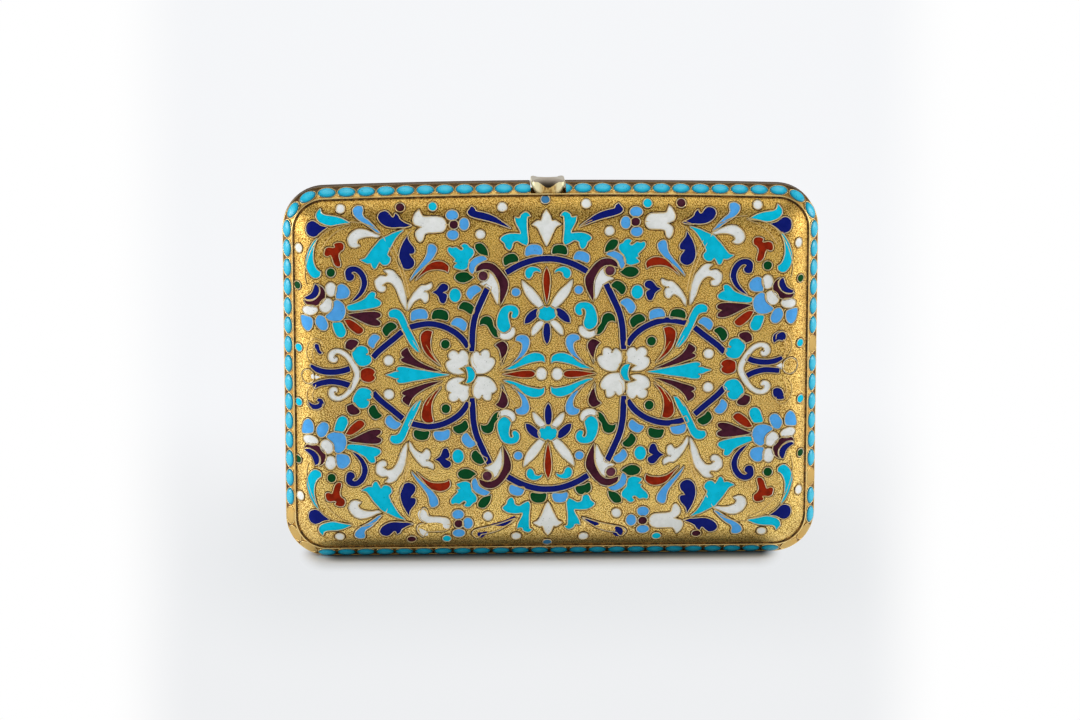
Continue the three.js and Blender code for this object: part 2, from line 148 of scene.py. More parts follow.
def linear(red, green, blue):
    """A colour as a paint chart gives it, 0 to 255, in the renderer's own terms."""
    scale = [value / 255 for value in (red, green, blue)]
    return tuple(v / 12.92 if v <= 0.04045 else ((v + 0.055) / 1.055) ** 2.4 for v in scale)


TURQUOISE = "turquoise"
COBALT = "cobalt"
AZURE = "azure"
WHITE = "white"
GREEN = "green"
RUST = "rust"
MAROON = "maroon"
PLUM = "plum"
SLATE = "slate"
ENAMEL = {
    TURQUOISE: (0, 195, 226),
    COBALT: (10, 24, 112),
    AZURE: (86, 172, 242),
    WHITE: (241, 242, 236),
    GREEN: (0, 72, 32),
    RUST: (162, 40, 6),
    MAROON: (76, 28, 46),
    PLUM: (104, 52, 70),
    SLATE: (62, 128, 176),
}


def doubled(axis, half):
    """A figure drawn up to its middle line, completed by its mirror image."""
    middle = (PATTERN_X, PATTERN_Z)[axis]
    other = [list(point) for point in reversed(half) if point[axis] != middle]
    for point in other:
        point[axis] = round(2 * middle - point[axis], 2)
    return half + other


# The figures of the ornament, by name: colour, quarters, how far each further quarter stands off its mirrored
# place, as the maker set it by eye, and the shape. Cells have the edge of their enamel, dots their middle, half
# width and height, and turn in degrees, and bands their middle line with its width.
CELLS = {
    "corner_leaf": (TURQUOISE, FOURFOLD, (0.3, -0.5, 0, 0.3, -0.2, 0.1), [
        (-45.95, 71.25, TIP), (-45.7, 70.5), (-45, 70.12), (-43.25, 69.95), (-41.75, 69.6), (-40.15, 68.83, TIP),
        (-41.5, 68.67), (-42.75, 68.45), (-43.88, 68.25), (-45, 68.45), (-46.05, 68.88), (-46.62, 69.55),
        (-46.7, 70.25), (-46.42, 70.75),
    ]),
    "corner_drop": (COBALT, FOURFOLD, (0.1, -0.6, 0, 0.4, -0.1, 0), [
        (-47.5, 68.95), (-46.7, 68.7), (-45.8, 68.15), (-44.55, 67.88, TIP), (-45.5, 67.25), (-46.2, 66.65),
        (-46.7, 66.15), (-47.42, 65.95), (-48.25, 66.25), (-48.67, 66.92), (-48.7, 67.8), (-48.33, 68.55),
    ]),
    "side_leaf": (TURQUOISE, FOURFOLD, (0.1, -0.2, -0.2, 0.3, 0.1, -0.1), [
        (-46.55, 65.75, TIP), (-47.42, 64.75), (-48.15, 63.38), (-48.67, 61.75), (-48.83, 60.38), (-48.42, 58.88),
        (-47.62, 57.88), (-46.8, 57.7), (-46.05, 58.2), (-45.95, 58.95, TIP), (-46.6, 59.4), (-47.12, 60.25),
        (-47.42, 61.5), (-47.38, 62.88), (-47.12, 64.25),
    ]),
    "trefoil": (RUST, FOURFOLD, (0, -0.2, -0.2, 0.2, 0, -0.1), [
        (-45.05, 63.12), (-45.1, 62.45), (-44.62, 62.15), (-43.88, 62.38), (-43.55, 61.75), (-43.25, 60.75),
        (-42.7, 60.12), (-42, 60.2), (-42.05, 61), (-42.27, 61.88), (-42.25, 62.62), (-41.88, 63.17, TIP),
        (-41.35, 63.62), (-41.3, 64.38), (-41.7, 64.85), (-42.5, 64.88), (-43.2, 64.55), (-43, 64), (-43.45, 63.8),
        (-44.12, 63.92), (-44.8, 63.7),
    ]),
    "blue_leaf": (AZURE, FOURFOLD, (-0.7, -0.5, -0.1, 0.3, -0.5, 0.2), [
        (-39, 71.62), (-38.3, 71.85), (-37.5, 71.7, TIP), (-37.38, 71.12), (-37.5, 70.5), (-37.15, 69.8),
        (-36.25, 69.2), (-35.25, 68.25), (-34.45, 67.35), (-33.95, 66.8, TIP), (-34.7, 67.05), (-35.62, 67.75),
        (-36.7, 68.5), (-37.8, 69.12), (-38.7, 69.75), (-39.25, 70.42), (-39.4, 71.12),
    ]),
    "white_curl": (WHITE, FOURFOLD, (-0.9, -0.4, -0.2, 0.4, -0.7, 0.2), [
        (-34, 66.3, TIP), (-34.95, 66.58), (-36, 67.08), (-37, 67.45), (-38.2, 67.55), (-39.25, 67.15), (-40, 66.45),
        (-40.4, 65.5), (-40.25, 64.7), (-39.75, 64.12), (-39, 63.95), (-38.05, 64.3, TIP), (-38.55, 64.7),
        (-38.6, 65.12), (-38.3, 65.6), (-37.7, 65.9), (-36.88, 66.12), (-35.7, 66.17), (-34.7, 66.05),
    ]),
    "comma_upper": (COBALT, FOURFOLD, (-0.4, -0.2, -0.1, 0, -0.3, -0.1), [
        (-33.12, 70.95), (-32.5, 70.8), (-32, 70.35), (-31.6, 69.9), (-31.2, 69.9), (-30.9, 70.55, TIP),
        (-30.35, 70.15), (-29.95, 69.45), (-29.05, 68.85), (-27.7, 68.3, TIP), (-28.88, 68.05), (-30, 68.05),
        (-31.25, 67.95), (-32.5, 68.12), (-33.5, 68.62), (-34.12, 69.25), (-34.35, 70), (-33.95, 70.65),
    ]),
    "fan": (TURQUOISE, FOURFOLD, (-0.5, -0.2, -0.1, 0, -0.4, -0.1), [
        (-29.15, 67.5, TIP), (-30, 66.8), (-30.8, 65.88), (-31.55, 64.62), (-32.2, 63.38), (-32.5, 62.5),
        (-31.95, 61.8), (-32.05, 61.05), (-32.62, 60.5), (-33.45, 60.45), (-34.05, 61.05, TIP), (-34.45, 60.5),
        (-34.85, 59.75), (-35.3, 59.7), (-35.65, 60.2), (-35.83, 60.8, TIP), (-36.5, 60.7), (-37.25, 61),
        (-37.92, 61.45, TIP), (-37, 61.75), (-36.25, 62.7), (-35.45, 63.8), (-34.62, 64.75), (-33.95, 65.5),
        (-32.62, 66.17), (-31, 66.95),
    ]),
    "comma_lower": (COBALT, FOURFOLD, (-0.3, 0, -0.1, -0.3, -0.4, -0.6), [
        (-28.45, 66.38, TIP), (-28.35, 65.5), (-27.88, 64.75), (-27.3, 64.05), (-27.05, 63.3), (-27.3, 62.75),
        (-28.12, 62.67, TIP), (-27.75, 62.05), (-27.3, 61.5), (-27.12, 60.62), (-27.62, 59.88), (-28.5, 59.55),
        (-29.38, 59.88), (-30, 60.75), (-30.18, 62), (-30, 63.25), (-29.57, 64.5), (-28.93, 65.62),
    ]),
    "scroll": (COBALT, FOURFOLD, (0.2, 0.3, -0.2, -0.5, 0.3, -0.4), [
        (-40.92, 57.95), (-41, 59), (-40.62, 59.7), (-39.75, 60.12), (-38.7, 60.05), (-37.7, 59.45), (-36.95, 58.38),
        (-36.6, 57), (-36.75, 56), (-37.38, 54.75), (-38.5, 53.62), (-39.92, 52.83, TIP), (-38.95, 54), (-38.2, 55),
        (-37.75, 56.25), (-37.77, 57.3), (-38.1, 58.12), (-38.7, 58.85), (-39.33, 59.08), (-39.75, 58.8, TIP),
        (-39.2, 58.2), (-39.38, 57.55), (-40, 57.2), (-40.65, 57.38),
    ]),
    "tulip": (WHITE, FOURFOLD, (-1.15, 0, 0.4, 0, -0.1, 0.1), [
        (-26.12, 71.17, TIP), (-25.75, 70.38), (-25.2, 69.92), (-23.75, 69.88), (-22.25, 69.85), (-21.25, 69.5),
        (-20.8, 68.7), (-20.88, 67.88), (-21.45, 67.22), (-22.75, 67.03), (-24.25, 66.97), (-25.05, 66.7),
        (-25.3, 66), (-25.55, 65.38), (-26, 65.15), (-26.5, 65.7), (-26.75, 66.5), (-26.55, 67.25), (-25.88, 67.75),
        (-25.45, 68.05, TIP), (-26.25, 68.33), (-27, 68.6), (-27.3, 69.38), (-27, 70.2), (-26.55, 70.8),
    ]),
    "long_leaf": (COBALT, FOURFOLD, (-0.7, 0.1, 0.6, 0.3, -0.4, 0.3), [
        (-15.59, 71.81, TIP), (-14.99, 71.46), (-14.59, 70.91), (-13.48, 70.71), (-11.98, 70.31), (-10.67, 69.71),
        (-9.47, 68.92), (-8.57, 68.27), (-7.77, 67.67, TIP), (-9.07, 68.12), (-10.47, 68.62), (-11.98, 69.07),
        (-13.48, 69.42), (-14.99, 69.77), (-15.99, 70.17), (-16.39, 70.77), (-16.09, 71.26),
    ]),
    "forked_leaf": (TURQUOISE, FOURFOLD, (-0.4, 0, 0.1, 0.3, 0, 0.9), [
        (-5.3, 70.4), (-4.8, 70.62), (-4.25, 70.45), (-3.85, 69.95, TIP), (-4.38, 69.85), (-4.52, 69.25),
        (-4.55, 68.12), (-4.5, 66.88), (-4.35, 65.62), (-4.35, 64.75), (-4.62, 64.2, TIP), (-5.45, 64.55),
        (-6.45, 65.1), (-7.32, 64.8), (-7.5, 64.05), (-7.9, 63.38), (-8.38, 63.5), (-8.8, 64), (-9, 64.65),
        (-9.45, 65.05), (-9.8, 65.5), (-9.25, 66.12), (-8.25, 66.5), (-7, 66.58), (-5.85, 66.5), (-5.85, 67.1),
        (-6.3, 67.95), (-6.73, 68.8), (-6.9, 69.75, TIP), (-6.35, 69.55), (-5.85, 69.65), (-5.7, 70.1),
    ]),
    "palmette": (WHITE, UPDOWN, (), doubled(ACROSS, [
        (-0.6, 71, TIP), (-1.2, 70.12), (-1.45, 69.38), (-1.75, 68.92), (-2.4, 68.97), (-3.4, 68.3, TIP), (-2.7, 68),
        (-2.18, 67.45), (-1.7, 66.45), (-1.2, 65.25), (-0.6, 64.08, TIP),
    ])),
    "green_leaf_upper": (GREEN, FOURFOLD, (-0.3, 0.4, 0.3, -0.4, 0.2, 0.2), [
        (-14.88, 64.5, TIP), (-14.3, 64.7), (-13.62, 64.65), (-13, 64.12), (-12.5, 63.25), (-12.3, 62.12, TIP),
        (-13.25, 62.38), (-14, 62.62), (-14.62, 63.25), (-14.95, 63.88),
    ]),
    "acanthus": (TURQUOISE, FOURFOLD, (-0.4, 0.5, 0.3, -0.3, 0, 0.2), [
        (-20.45, 63.5), (-20.12, 64), (-19.5, 63.8), (-18.75, 63.95), (-18.2, 63.55), (-17.7, 63.3), (-17.3, 63.65),
        (-17.75, 64.25, TIP), (-17.2, 64.6), (-16.5, 64.45), (-16, 63.88), (-15.38, 63.5), (-15.2, 62.75),
        (-15.62, 62), (-16.2, 61.38), (-16.3, 60.5), (-16.55, 59.8), (-17.38, 59.4), (-18.38, 59.55),
        (-19.25, 59.9, TIP), (-19.05, 60.3), (-18.55, 60.8), (-19.2, 61.05, TIP), (-18.95, 61.5), (-19.5, 62.12),
        (-20.12, 62.75),
    ]),
    "crescent": (AZURE, FOURFOLD, (-0.2, 0.6, 0.3, -0.4, 0, 0.2), [
        (-12.5, 61.5, TIP), (-13.25, 62.12), (-14.25, 62.05), (-15.25, 61.55), (-16, 60.75), (-16.2, 59.88),
        (-16, 59), (-15.45, 58.55, TIP), (-15.12, 59.25), (-14.88, 60), (-14.3, 60.62), (-13.45, 61.05),
    ]),
    "paisley_hood": (MAROON, FOURFOLD, (-0.2, 0.5, 0.4, -0.3, -0.2, -0.1), [
        (-14.82, 58.95, TIP), (-14.6, 59.88), (-13.75, 60.6), (-12.62, 60.83), (-11.3, 60.5), (-10, 59.38), (-9, 58),
        (-8.45, 57.12), (-8.35, 56), (-8.65, 54.75), (-9.25, 53.38), (-9.93, 52.15, TIP), (-10, 53.62),
        (-9.98, 55.12), (-10.18, 56.5), (-10.62, 57.55), (-11.2, 58.55), (-12, 59.25), (-12.7, 59.45), (-13.5, 59.4),
        (-14.25, 59.15),
    ]),
    "paisley_drop": (WHITE, FOURFOLD, (-0.3, 0.7, 0.7, -0.5, -0.2, -0.2), [
        (-12.2, 58.85, TIP), (-11.55, 58.35), (-11, 57.5), (-10.5, 56.4), (-10.28, 55.1), (-10.3, 53.5),
        (-10.45, 52.35, TIP), (-10.85, 53.12), (-11.35, 54.25), (-12, 55.35), (-12.95, 56.05), (-14, 56.5, TIP),
        (-13.2, 56.85), (-12.45, 57.3), (-12.05, 58.25),
    ]),
    "green_leaf_lower": (GREEN, FOURFOLD, (-0.3, 0.6, 0.3, -0.3, -0.1, 0), [
        (-19, 57.75), (-18.62, 58.55), (-17.62, 58.92), (-16.5, 58.83), (-15.88, 58.3), (-15.25, 57.92, TIP),
        (-16, 57.3), (-17.12, 56.83), (-18.25, 57),
    ]),
    "red_leaf": (RUST, FOURFOLD, (-0.1, 0.2, 0, -0.5, -0.4, 0.1), [
        (-26.95, 57.3, TIP), (-26.05, 58.45), (-25.25, 59.45), (-24.45, 60.38), (-23.25, 60.98), (-21.88, 61.12),
        (-20.75, 60.62), (-20.25, 59.88), (-20.45, 58.88, TIP), (-20.93, 59.25), (-22, 59.48), (-23.25, 59.5),
        (-24.5, 59.2), (-25.75, 58.38),
    ]),
    "long_blue_leaf": (AZURE, FOURFOLD, (-0.2, 0.1, 0, -0.3, -0.5, -0.2), [
        (-24.05, 64.55), (-23.25, 64.45), (-22.68, 63.88), (-22.8, 62.88), (-23.62, 61.62), (-24.75, 60.5),
        (-25.88, 59.5), (-26.88, 58.5), (-28.05, 57.2, TIP), (-27.62, 58.12), (-26.88, 59.25), (-25.88, 60.5),
        (-25, 61.75), (-24.55, 62.88), (-24.43, 63.88),
    ]),
    "lobe_leaf": (TURQUOISE, FOURFOLD, (0.4, -0.1, 0.1, 0.3, 0.5, 0.5), [
        (-4.93, 58.62), (-4.62, 59.38), (-3.75, 59.83), (-2.75, 59.7), (-2, 59.25), (-1.8, 58.7, TIP), (-2.62, 59),
        (-3.3, 58.7), (-3.55, 58), (-4.12, 57.5), (-4.7, 57.8),
    ]),
    "rosette_heart": (COBALT, FOURFOLD, (0.1, -0.1, -0.3, 0, 0.1, -0.1), [
        (-47.05, 56.45, TIP), (-46.42, 56.05), (-46.25, 55.05), (-46.7, 54), (-47.7, 53.38), (-48.75, 53.23),
        (-49.15, 53.62, TIP), (-48.45, 54), (-47.75, 54.62), (-47.35, 55.5),
    ]),
    "rosette_ring": (MAROON, FOURFOLD, (0.1, 0, -0.2, -0.2, 0.1, -0.1), [
        (-46.5, 56.38, TIP), (-45.55, 55.8), (-45.05, 54.75), (-45.2, 53.55), (-45.88, 52.7), (-46.88, 52.1),
        (-48, 52), (-48.88, 52.35), (-49.25, 53.05, TIP), (-48.35, 52.85), (-47.38, 53.1), (-46.5, 53.85),
        (-46, 54.8), (-46.05, 55.75),
    ]),
    "rosette_petal_1": (AZURE, FOURFOLD, (0.3, 0.2, -0.2, -0.5, 0.4, -0.4), [
        (-42.85, 53.75), (-42.85, 55.12), (-42.45, 56.25), (-41.62, 56.5), (-40.7, 56), (-40.15, 55.05), (-40.45, 54),
        (-41.38, 53.6), (-42.38, 53.6),
    ]),
    "rosette_petal_2": (AZURE, FOURFOLD, (0.2, 0.2, 0, -0.6, 0, -0.4), [
        (-43.45, 52.7), (-42.88, 53.25), (-42.2, 53.1), (-41.38, 52.38), (-41.05, 51.25), (-41.25, 50), (-42, 49.2),
        (-43.25, 49), (-44.45, 49.38), (-45, 50), (-44.25, 50.7), (-43.55, 51.55),
    ]),
    "rosette_petal_3": (AZURE, FOURFOLD, (0.1, 0.1, 0, -0.5, -0.1, -0.2), [
        (-46.85, 49.55), (-46.35, 50.15), (-45.45, 49.95), (-44.8, 49), (-44.55, 48), (-45, 47.25), (-45.88, 47.2),
        (-46.62, 47.88), (-47, 48.75),
    ]),
    "rosette_petal_4": (AZURE, FOURFOLD, (0.1, 0, 0, -0.3, -0.1, -0.1), [
        (-49.8, 49.88), (-48.75, 49.8), (-47.75, 49.45), (-47.6, 48.25), (-48, 47.25), (-48.75, 46.88), (-49.5, 47.6),
        (-49.85, 48.75),
    ]),
    "rosette_turquoise": (TURQUOISE, FOURFOLD, (-0.3, 0.1, 0.2, -0.7, -0.5, -0.2), [
        (-43.62, 48.55), (-42.7, 48.8), (-41.8, 48.7), (-41.35, 47.95), (-40.95, 46.95), (-41.25, 46), (-42, 45.7),
        (-42.75, 46.05), (-43.25, 47),
    ]),
    "rosette_red": (RUST, FOURFOLD, (0.1, 0.5, 0.1, -0.8, -0.2, -0.5), [
        (-41.25, 49.25, TIP), (-40.25, 49.35), (-39.2, 48.83), (-38.12, 48), (-37.45, 47.25), (-37.85, 46.6),
        (-38.62, 46.45), (-39.5, 47), (-40.38, 47.83),
    ]),
    "rosette_maroon": (MAROON, FOURFOLD, (0.2, 0.7, -0.1, -1, 0.2, -0.7), [
        (-40.75, 50.35, TIP), (-39.5, 50.62), (-38, 50.8), (-36.5, 50.95), (-34.88, 50.95), (-34, 50.55),
        (-34, 49.95), (-34.9, 49.5, TIP), (-34.1, 48.88), (-34.05, 48.25), (-35, 48.05), (-36.25, 48.3),
        (-37.5, 48.85), (-39, 49.6),
    ]),
    "rosette_fan": (TURQUOISE, FOURFOLD, (0.4, 0.4, -0.3, -0.9, 0.4, -0.5), [
        (-40.65, 52.05), (-39.5, 52.5), (-38, 53.1), (-36.95, 53.75), (-36.38, 54.45), (-35.7, 54.95), (-35, 54.7),
        (-35.15, 53.75, TIP), (-34.45, 53.42), (-33.88, 52.8), (-34.12, 52.2), (-35, 51.85), (-36.25, 51.6),
        (-37.75, 51.35), (-39.5, 51.2), (-40.45, 51.35),
    ]),
    "white_scroll": (WHITE, FOURFOLD, (0, 0.2, -0.1, -0.4, 0, -0.3), [
        (-33.2, 59.3, TIP), (-32.2, 59.42), (-31.25, 59), (-30.45, 58), (-29.88, 57.3), (-29.35, 55.88), (-29, 54.25),
        (-28.85, 52.75), (-28.77, 51.3, TIP), (-29.38, 52.3), (-30, 53.55), (-30.45, 54.88), (-30.95, 55.95),
        (-31.75, 56.8), (-32.62, 57), (-33.3, 56.65), (-33.7, 56.2, TIP), (-33, 55.95), (-33.05, 55.3),
        (-33.62, 55.05), (-34.45, 55.38), (-34.92, 56.25), (-34.95, 57.25), (-34.55, 57.75), (-33.88, 58.17),
        (-32.88, 58.05), (-32.45, 58.5), (-32.7, 58.95),
    ]),
    "white_leaf": (WHITE, FOURFOLD, (-0.5, 0.1, 0.1, -0.3, -0.2, -0.1), [
        (-28.45, 51.25, TIP), (-28.45, 52.38), (-27.95, 53.5), (-27.25, 54.62), (-26.5, 55.5), (-25.75, 56.2),
        (-24.88, 56.25), (-23.75, 56.75, TIP), (-23.7, 56), (-24.2, 55.45), (-25.3, 55.1, TIP), (-24.62, 54.75),
        (-24.38, 54), (-24.55, 53.2), (-25.12, 52.85), (-25.55, 53.38), (-26.05, 53.7), (-26.75, 53.38),
        (-27.5, 52.75), (-28.05, 51.88),
    ]),
    "heart": (COBALT, FOURFOLD, (-0.5, 0, 0.3, -0.3, 0, 0), [
        (-23.55, 54.9, TIP), (-22.75, 55.35), (-22.25, 56), (-21.7, 56.55), (-20.95, 56.6), (-20.38, 56.1),
        (-20.5, 55.35), (-21.45, 54.85, TIP), (-20.75, 54.45), (-20.6, 54), (-20.8, 53.2), (-21.15, 52.67),
        (-21.75, 52.67), (-22.12, 53.25), (-22.38, 54), (-22.88, 54.5),
    ]),
    "boot": (TURQUOISE, FOURFOLD, (-0.1, 0.4, 0, 0, 0, -0.1), [
        (-8.25, 47), (-9.12, 46.6), (-10, 47), (-10.55, 47.88), (-10.6, 49), (-10.3, 50.25), (-9.75, 51.38),
        (-8.88, 52), (-7.75, 52.12), (-6.75, 51.8), (-6.25, 50.95), (-6.38, 50.05), (-7, 49.5), (-7.6, 49.6, TIP),
        (-7.62, 50.12), (-7.45, 50.6), (-7.8, 50.92), (-8.25, 50.6), (-8.38, 49.85), (-8.2, 48.88), (-7.95, 47.88),
    ]),
    "boot_foot": (WHITE, FOURFOLD, (-0.1, 0.1, -0.1, 0, 0.1, -0.1), [
        (-10.5, 46.75, TIP), (-9.75, 46.45), (-8.95, 46.4), (-8.2, 46.9), (-7.65, 47.5), (-7.18, 47.35),
        (-7.05, 46.6), (-7.5, 45.75), (-8.38, 45.25), (-9.38, 45.25), (-10.18, 45.85),
    ]),
    "s_leaf": (GREEN, FOURFOLD, (0, 0.3, 0.1, 0, 0, -0.3), [
        (-14.12, 48.08, TIP), (-14, 49), (-13.5, 49.7), (-12.62, 49.95), (-11.8, 49.55), (-11.45, 48.75),
        (-11.3, 47.95), (-10.75, 47.2), (-10.3, 46.45), (-10.38, 45.58, TIP), (-11.12, 45.8), (-11.75, 46.5),
        (-12.25, 47.45), (-12.75, 48.15), (-13.5, 48.35),
    ]),
    "maroon_leaf": (MAROON, FOURFOLD, (0.1, 0.2, 0, -0.1, 0.2, -0.1), [
        (-11, 44.05, TIP), (-10.3, 44.55), (-9.45, 44.8), (-8.75, 44.25), (-8.5, 43.38), (-8.75, 42.45),
        (-9.18, 41.38), (-9.75, 39.95, TIP), (-9.75, 41.25), (-10, 42.5), (-10.38, 43.45),
    ]),
    "blue_hook": (AZURE, FOURFOLD, (0.2, 0, -0.1, -0.2, 0.1, -0.4), [
        (-6.85, 44.95, TIP), (-6.7, 45.6), (-6, 46), (-5, 45.95), (-4.25, 45.25), (-4.2, 44), (-4.7, 42.75),
        (-5.5, 41.75), (-6.5, 40.75), (-7.7, 39.95, TIP), (-6.95, 40.88), (-6.12, 42), (-5.6, 43.2), (-5.65, 44.25),
        (-6.2, 44.75),
    ]),
    "centre_leaf": (TURQUOISE, FOURFOLD, (0.4, -0.1, -0.1, -0.4, 0.3, -0.3), [
        (-9.3, 38.9, TIP), (-8.2, 39.45), (-7, 40.25), (-5.75, 41.2), (-4.5, 41.95), (-3.25, 42.35), (-2, 42.2),
        (-1.15, 41.5), (-1.05, 40.35, TIP), (-1.75, 40.7), (-3, 40.55), (-4.5, 40.2), (-5.75, 39.75), (-7, 39.25),
        (-8.12, 38.95),
    ]),
    "red_dart": (RUST, SIDEWAYS, (0.8, -0.1), doubled(UP, [
        (-9.5, 38.05, TIP), (-8, 38.3), (-6.5, 38.58), (-5, 38.73), (-3.62, 38.62), (-3.05, 38.05),
    ])),
    "petal_left": (WHITE, FOURFOLD, (-0.1, 0.1, 0, -0.5, -0.1, -0.4), [
        (-16.35, 40, TIP), (-16.6, 40.88), (-16.45, 41.75), (-16.95, 42.7), (-17.7, 42.92), (-18.35, 42.2, TIP),
        (-18.75, 42.65), (-19.5, 42.92), (-20.18, 42.5), (-20.3, 41.7), (-19.8, 41.12, TIP), (-20.7, 40.6),
        (-20.8, 39.85), (-20.25, 38.88), (-19.25, 38.35), (-18.25, 38.23), (-17.25, 38.4, TIP), (-17.7, 38.8),
        (-18.45, 39.27, TIP), (-17.7, 39.65),
    ]),
    "petal_right": (WHITE, FOURFOLD, (-0.6, 0.1, 0.3, -0.2, 0, 0.1), [
        (-14.75, 38.3, TIP), (-15.3, 39.25), (-15.78, 40.25), (-15.82, 41.5), (-15.38, 42.35), (-14.7, 42.7),
        (-13.95, 41.88, TIP), (-13.75, 42.5), (-13.1, 43), (-12.35, 42.75), (-12.2, 41.5, TIP), (-11.62, 41.38),
        (-11.18, 40.8), (-11.45, 39.85), (-12.25, 38.88), (-13.38, 38.35),
    ]),
    "eye_crescent": (TURQUOISE, SIDEWAYS, (), [
        (-17.1, 39.77, TIP), (-16, 39.6), (-15.3, 38.88), (-15.1, 38.05), (-15.35, 37.12), (-16.05, 36.45),
        (-16.95, 36.3, TIP), (-16.55, 37.12), (-16.5, 38.05), (-16.7, 39),
    ]),
    "loop_red": (RUST, FOURFOLD, (0, 0, 0.1, -0.6, -0.4, -0.3), [
        (-23.62, 46.9, TIP), (-24.62, 47.15), (-25.5, 46.75), (-25.95, 45.88), (-25.8, 44.5), (-25.3, 43.12),
        (-24.5, 42), (-23.5, 41.12), (-22, 39.95, TIP), (-23, 41.25), (-23.7, 42.5), (-24, 43.88), (-23.95, 45.38),
    ]),
    "loop_long_leaf": (TURQUOISE, FOURFOLD, (-0.1, 0.1, 0.1, -0.5, -0.5, -0.5), [
        (-32, 50, TIP), (-32.12, 50.7), (-31.45, 51.2), (-30.45, 51.12), (-29.7, 50.33), (-29.07, 49), (-28.45, 47.5),
        (-27.7, 46), (-26.95, 44.5), (-26.25, 42.75, TIP), (-27.3, 43.75), (-28.18, 44.95), (-28.88, 46.38),
        (-29.62, 47.95), (-30.3, 49.38), (-31.05, 49.92),
    ]),
    "loop_maroon": (MAROON, FOURFOLD, (-0.1, 0, 0.2, -0.6, -0.3, -0.6), [
        (-28.62, 43.67, TIP), (-29.3, 43.25), (-29.88, 42.7), (-29.8, 42.05), (-29.25, 41.65, TIP), (-29.95, 41.3),
        (-29.88, 40.88), (-29, 40.45), (-27.5, 39.95), (-26, 39.45), (-24, 38.95), (-21.88, 38.7, TIP), (-24, 39.62),
        (-25.75, 40.45), (-27.25, 41.5), (-28.12, 42.58),
    ]),
    "loop_fan": (TURQUOISE, SIDEWAYS, (), doubled(UP, [
        (-20.2, 38.05, TIP), (-22.25, 38.38), (-24.75, 38.85), (-27, 39.2), (-29.25, 39.67), (-30.38, 39.7),
        (-30.8, 39.25), (-30.45, 38.75, TIP), (-31.2, 38.7), (-32, 38.38), (-33, 38.05, TIP),
    ])),
    "axis_petal_blue": (COBALT, FOURFOLD, (0.1, 0.1, 0.1, 0.3, 0.3, 0.2), [
        (-5, 48.4, TIP), (-4.88, 49.25), (-4.5, 50), (-3.75, 50.75), (-2.75, 51.25), (-2.35, 50.9), (-2.5, 50.12),
        (-3.12, 49.38), (-4.12, 48.62),
    ]),
    "axis_petal_white": (WHITE, FOURFOLD, (0.1, 0, 0.1, 0.3, 0.3, 0.3), [
        (-5.55, 57.1, TIP), (-5.38, 56), (-4.88, 54.55), (-4, 53.25), (-3, 52.2), (-1.95, 51.5), (-1.35, 51.95, TIP),
        (-1.8, 53), (-2.38, 53.95), (-3.25, 55.08), (-4.5, 56.2),
    ]),
    "axis_petal_red": (RUST, UPDOWN, (0.1, 0.4), doubled(ACROSS, [
        (-0.6, 59.75, TIP), (-1.1, 58.45), (-1.27, 57), (-1.2, 55.88), (-1, 54.25), (-0.6, 52.35, TIP),
    ])),
    "axis_eye": (TURQUOISE, UPDOWN, (0.1, 0.3), doubled(ACROSS, [
        (-0.6, 51.5, TIP), (-1.25, 51.75), (-2.1, 51.25), (-2.5, 50.38), (-2.2, 49.55), (-1.45, 49.05), (-0.6, 48.85),
    ])),
    "axis_petal_low": (WHITE, FOURFOLD, (0.1, 0.1, 0.2, 0, 0.2, -0.1), [
        (-3.65, 45.9, TIP), (-3.62, 46.75), (-3.2, 47.75), (-2.38, 48.6), (-1.4, 48.9, TIP), (-1.3, 48.3),
        (-1.75, 47.6), (-2.38, 46.83), (-3.12, 46.1),
    ]),
    "axis_petal_down": (COBALT, UPDOWN, (0.2, 0.1), doubled(ACROSS, [
        (-0.6, 44.08, TIP), (-1.05, 44.8), (-1.3, 46), (-1.27, 47.25), (-1.05, 48.2), (-0.6, 48.45),
    ])),
    "maroon_bud": (MAROON, FOURFOLD, (-0.1, 0.3, 0.2, -0.8, -0.5, -0.1), [
        (-41.12, 43.55, TIP), (-41, 44.5), (-40.38, 45.2), (-39.5, 45.3), (-38.7, 45), (-38.5, 44.5), (-39, 43.85),
        (-39.6, 43.05, TIP), (-40.3, 43.2),
    ]),
    "kidney": (TURQUOISE, FOURFOLD, (-0.1, 0.4, 0.1, -0.8, -0.4, -0.2), [
        (-39, 43.45), (-38, 43.88), (-37, 43.62), (-36.6, 42.75), (-37.05, 42.2, TIP), (-36.2, 41.9), (-35.95, 41.12),
        (-36.38, 40.38), (-37.38, 40), (-38.38, 40.12), (-39.12, 41), (-39.6, 42.05), (-39.5, 42.95),
    ]),
    "red_heart": (RUST, SIDEWAYS, (-0.3, 0.6), doubled(UP, [
        (-38.05, 38.05), (-37.95, 38.88), (-37.35, 39.33), (-36.38, 39.52), (-35.5, 39.12), (-35.2, 38.55),
        (-35.6, 38.05, TIP),
    ])),
    "curl_upper_left": (COBALT, HERE, (), [
        (-47.29, 43.81), (-46.99, 44.26), (-46.49, 44.22), (-46.29, 43.63), (-46.14, 42.98), (-45.69, 42.49, TIP),
        (-46.19, 42.28), (-46.69, 42.67), (-46.94, 43.22),
    ]),
    "curl_lower_left": (COBALT, HERE, (), [
        (-48.71, 32.4, TIP), (-48.56, 31.61), (-47.81, 30.97), (-46.81, 30.93), (-45.91, 31.45), (-45.51, 32.25),
        (-45.87, 33), (-46.52, 33.14), (-46.81, 32.73), (-46.41, 32.34), (-46.81, 31.93), (-47.71, 31.87),
    ]),
    "curl_upper_right": (COBALT, HERE, (), [
        (45.03, 43.15, TIP), (44.74, 43.96), (45.05, 44.84), (45.9, 45.36), (46.89, 45.33), (47.38, 44.67),
        (47.32, 43.88), (46.77, 43.6), (46.08, 43.77), (45.58, 43.63),
    ]),
    "curl_lower_right": (COBALT, HERE, (), [
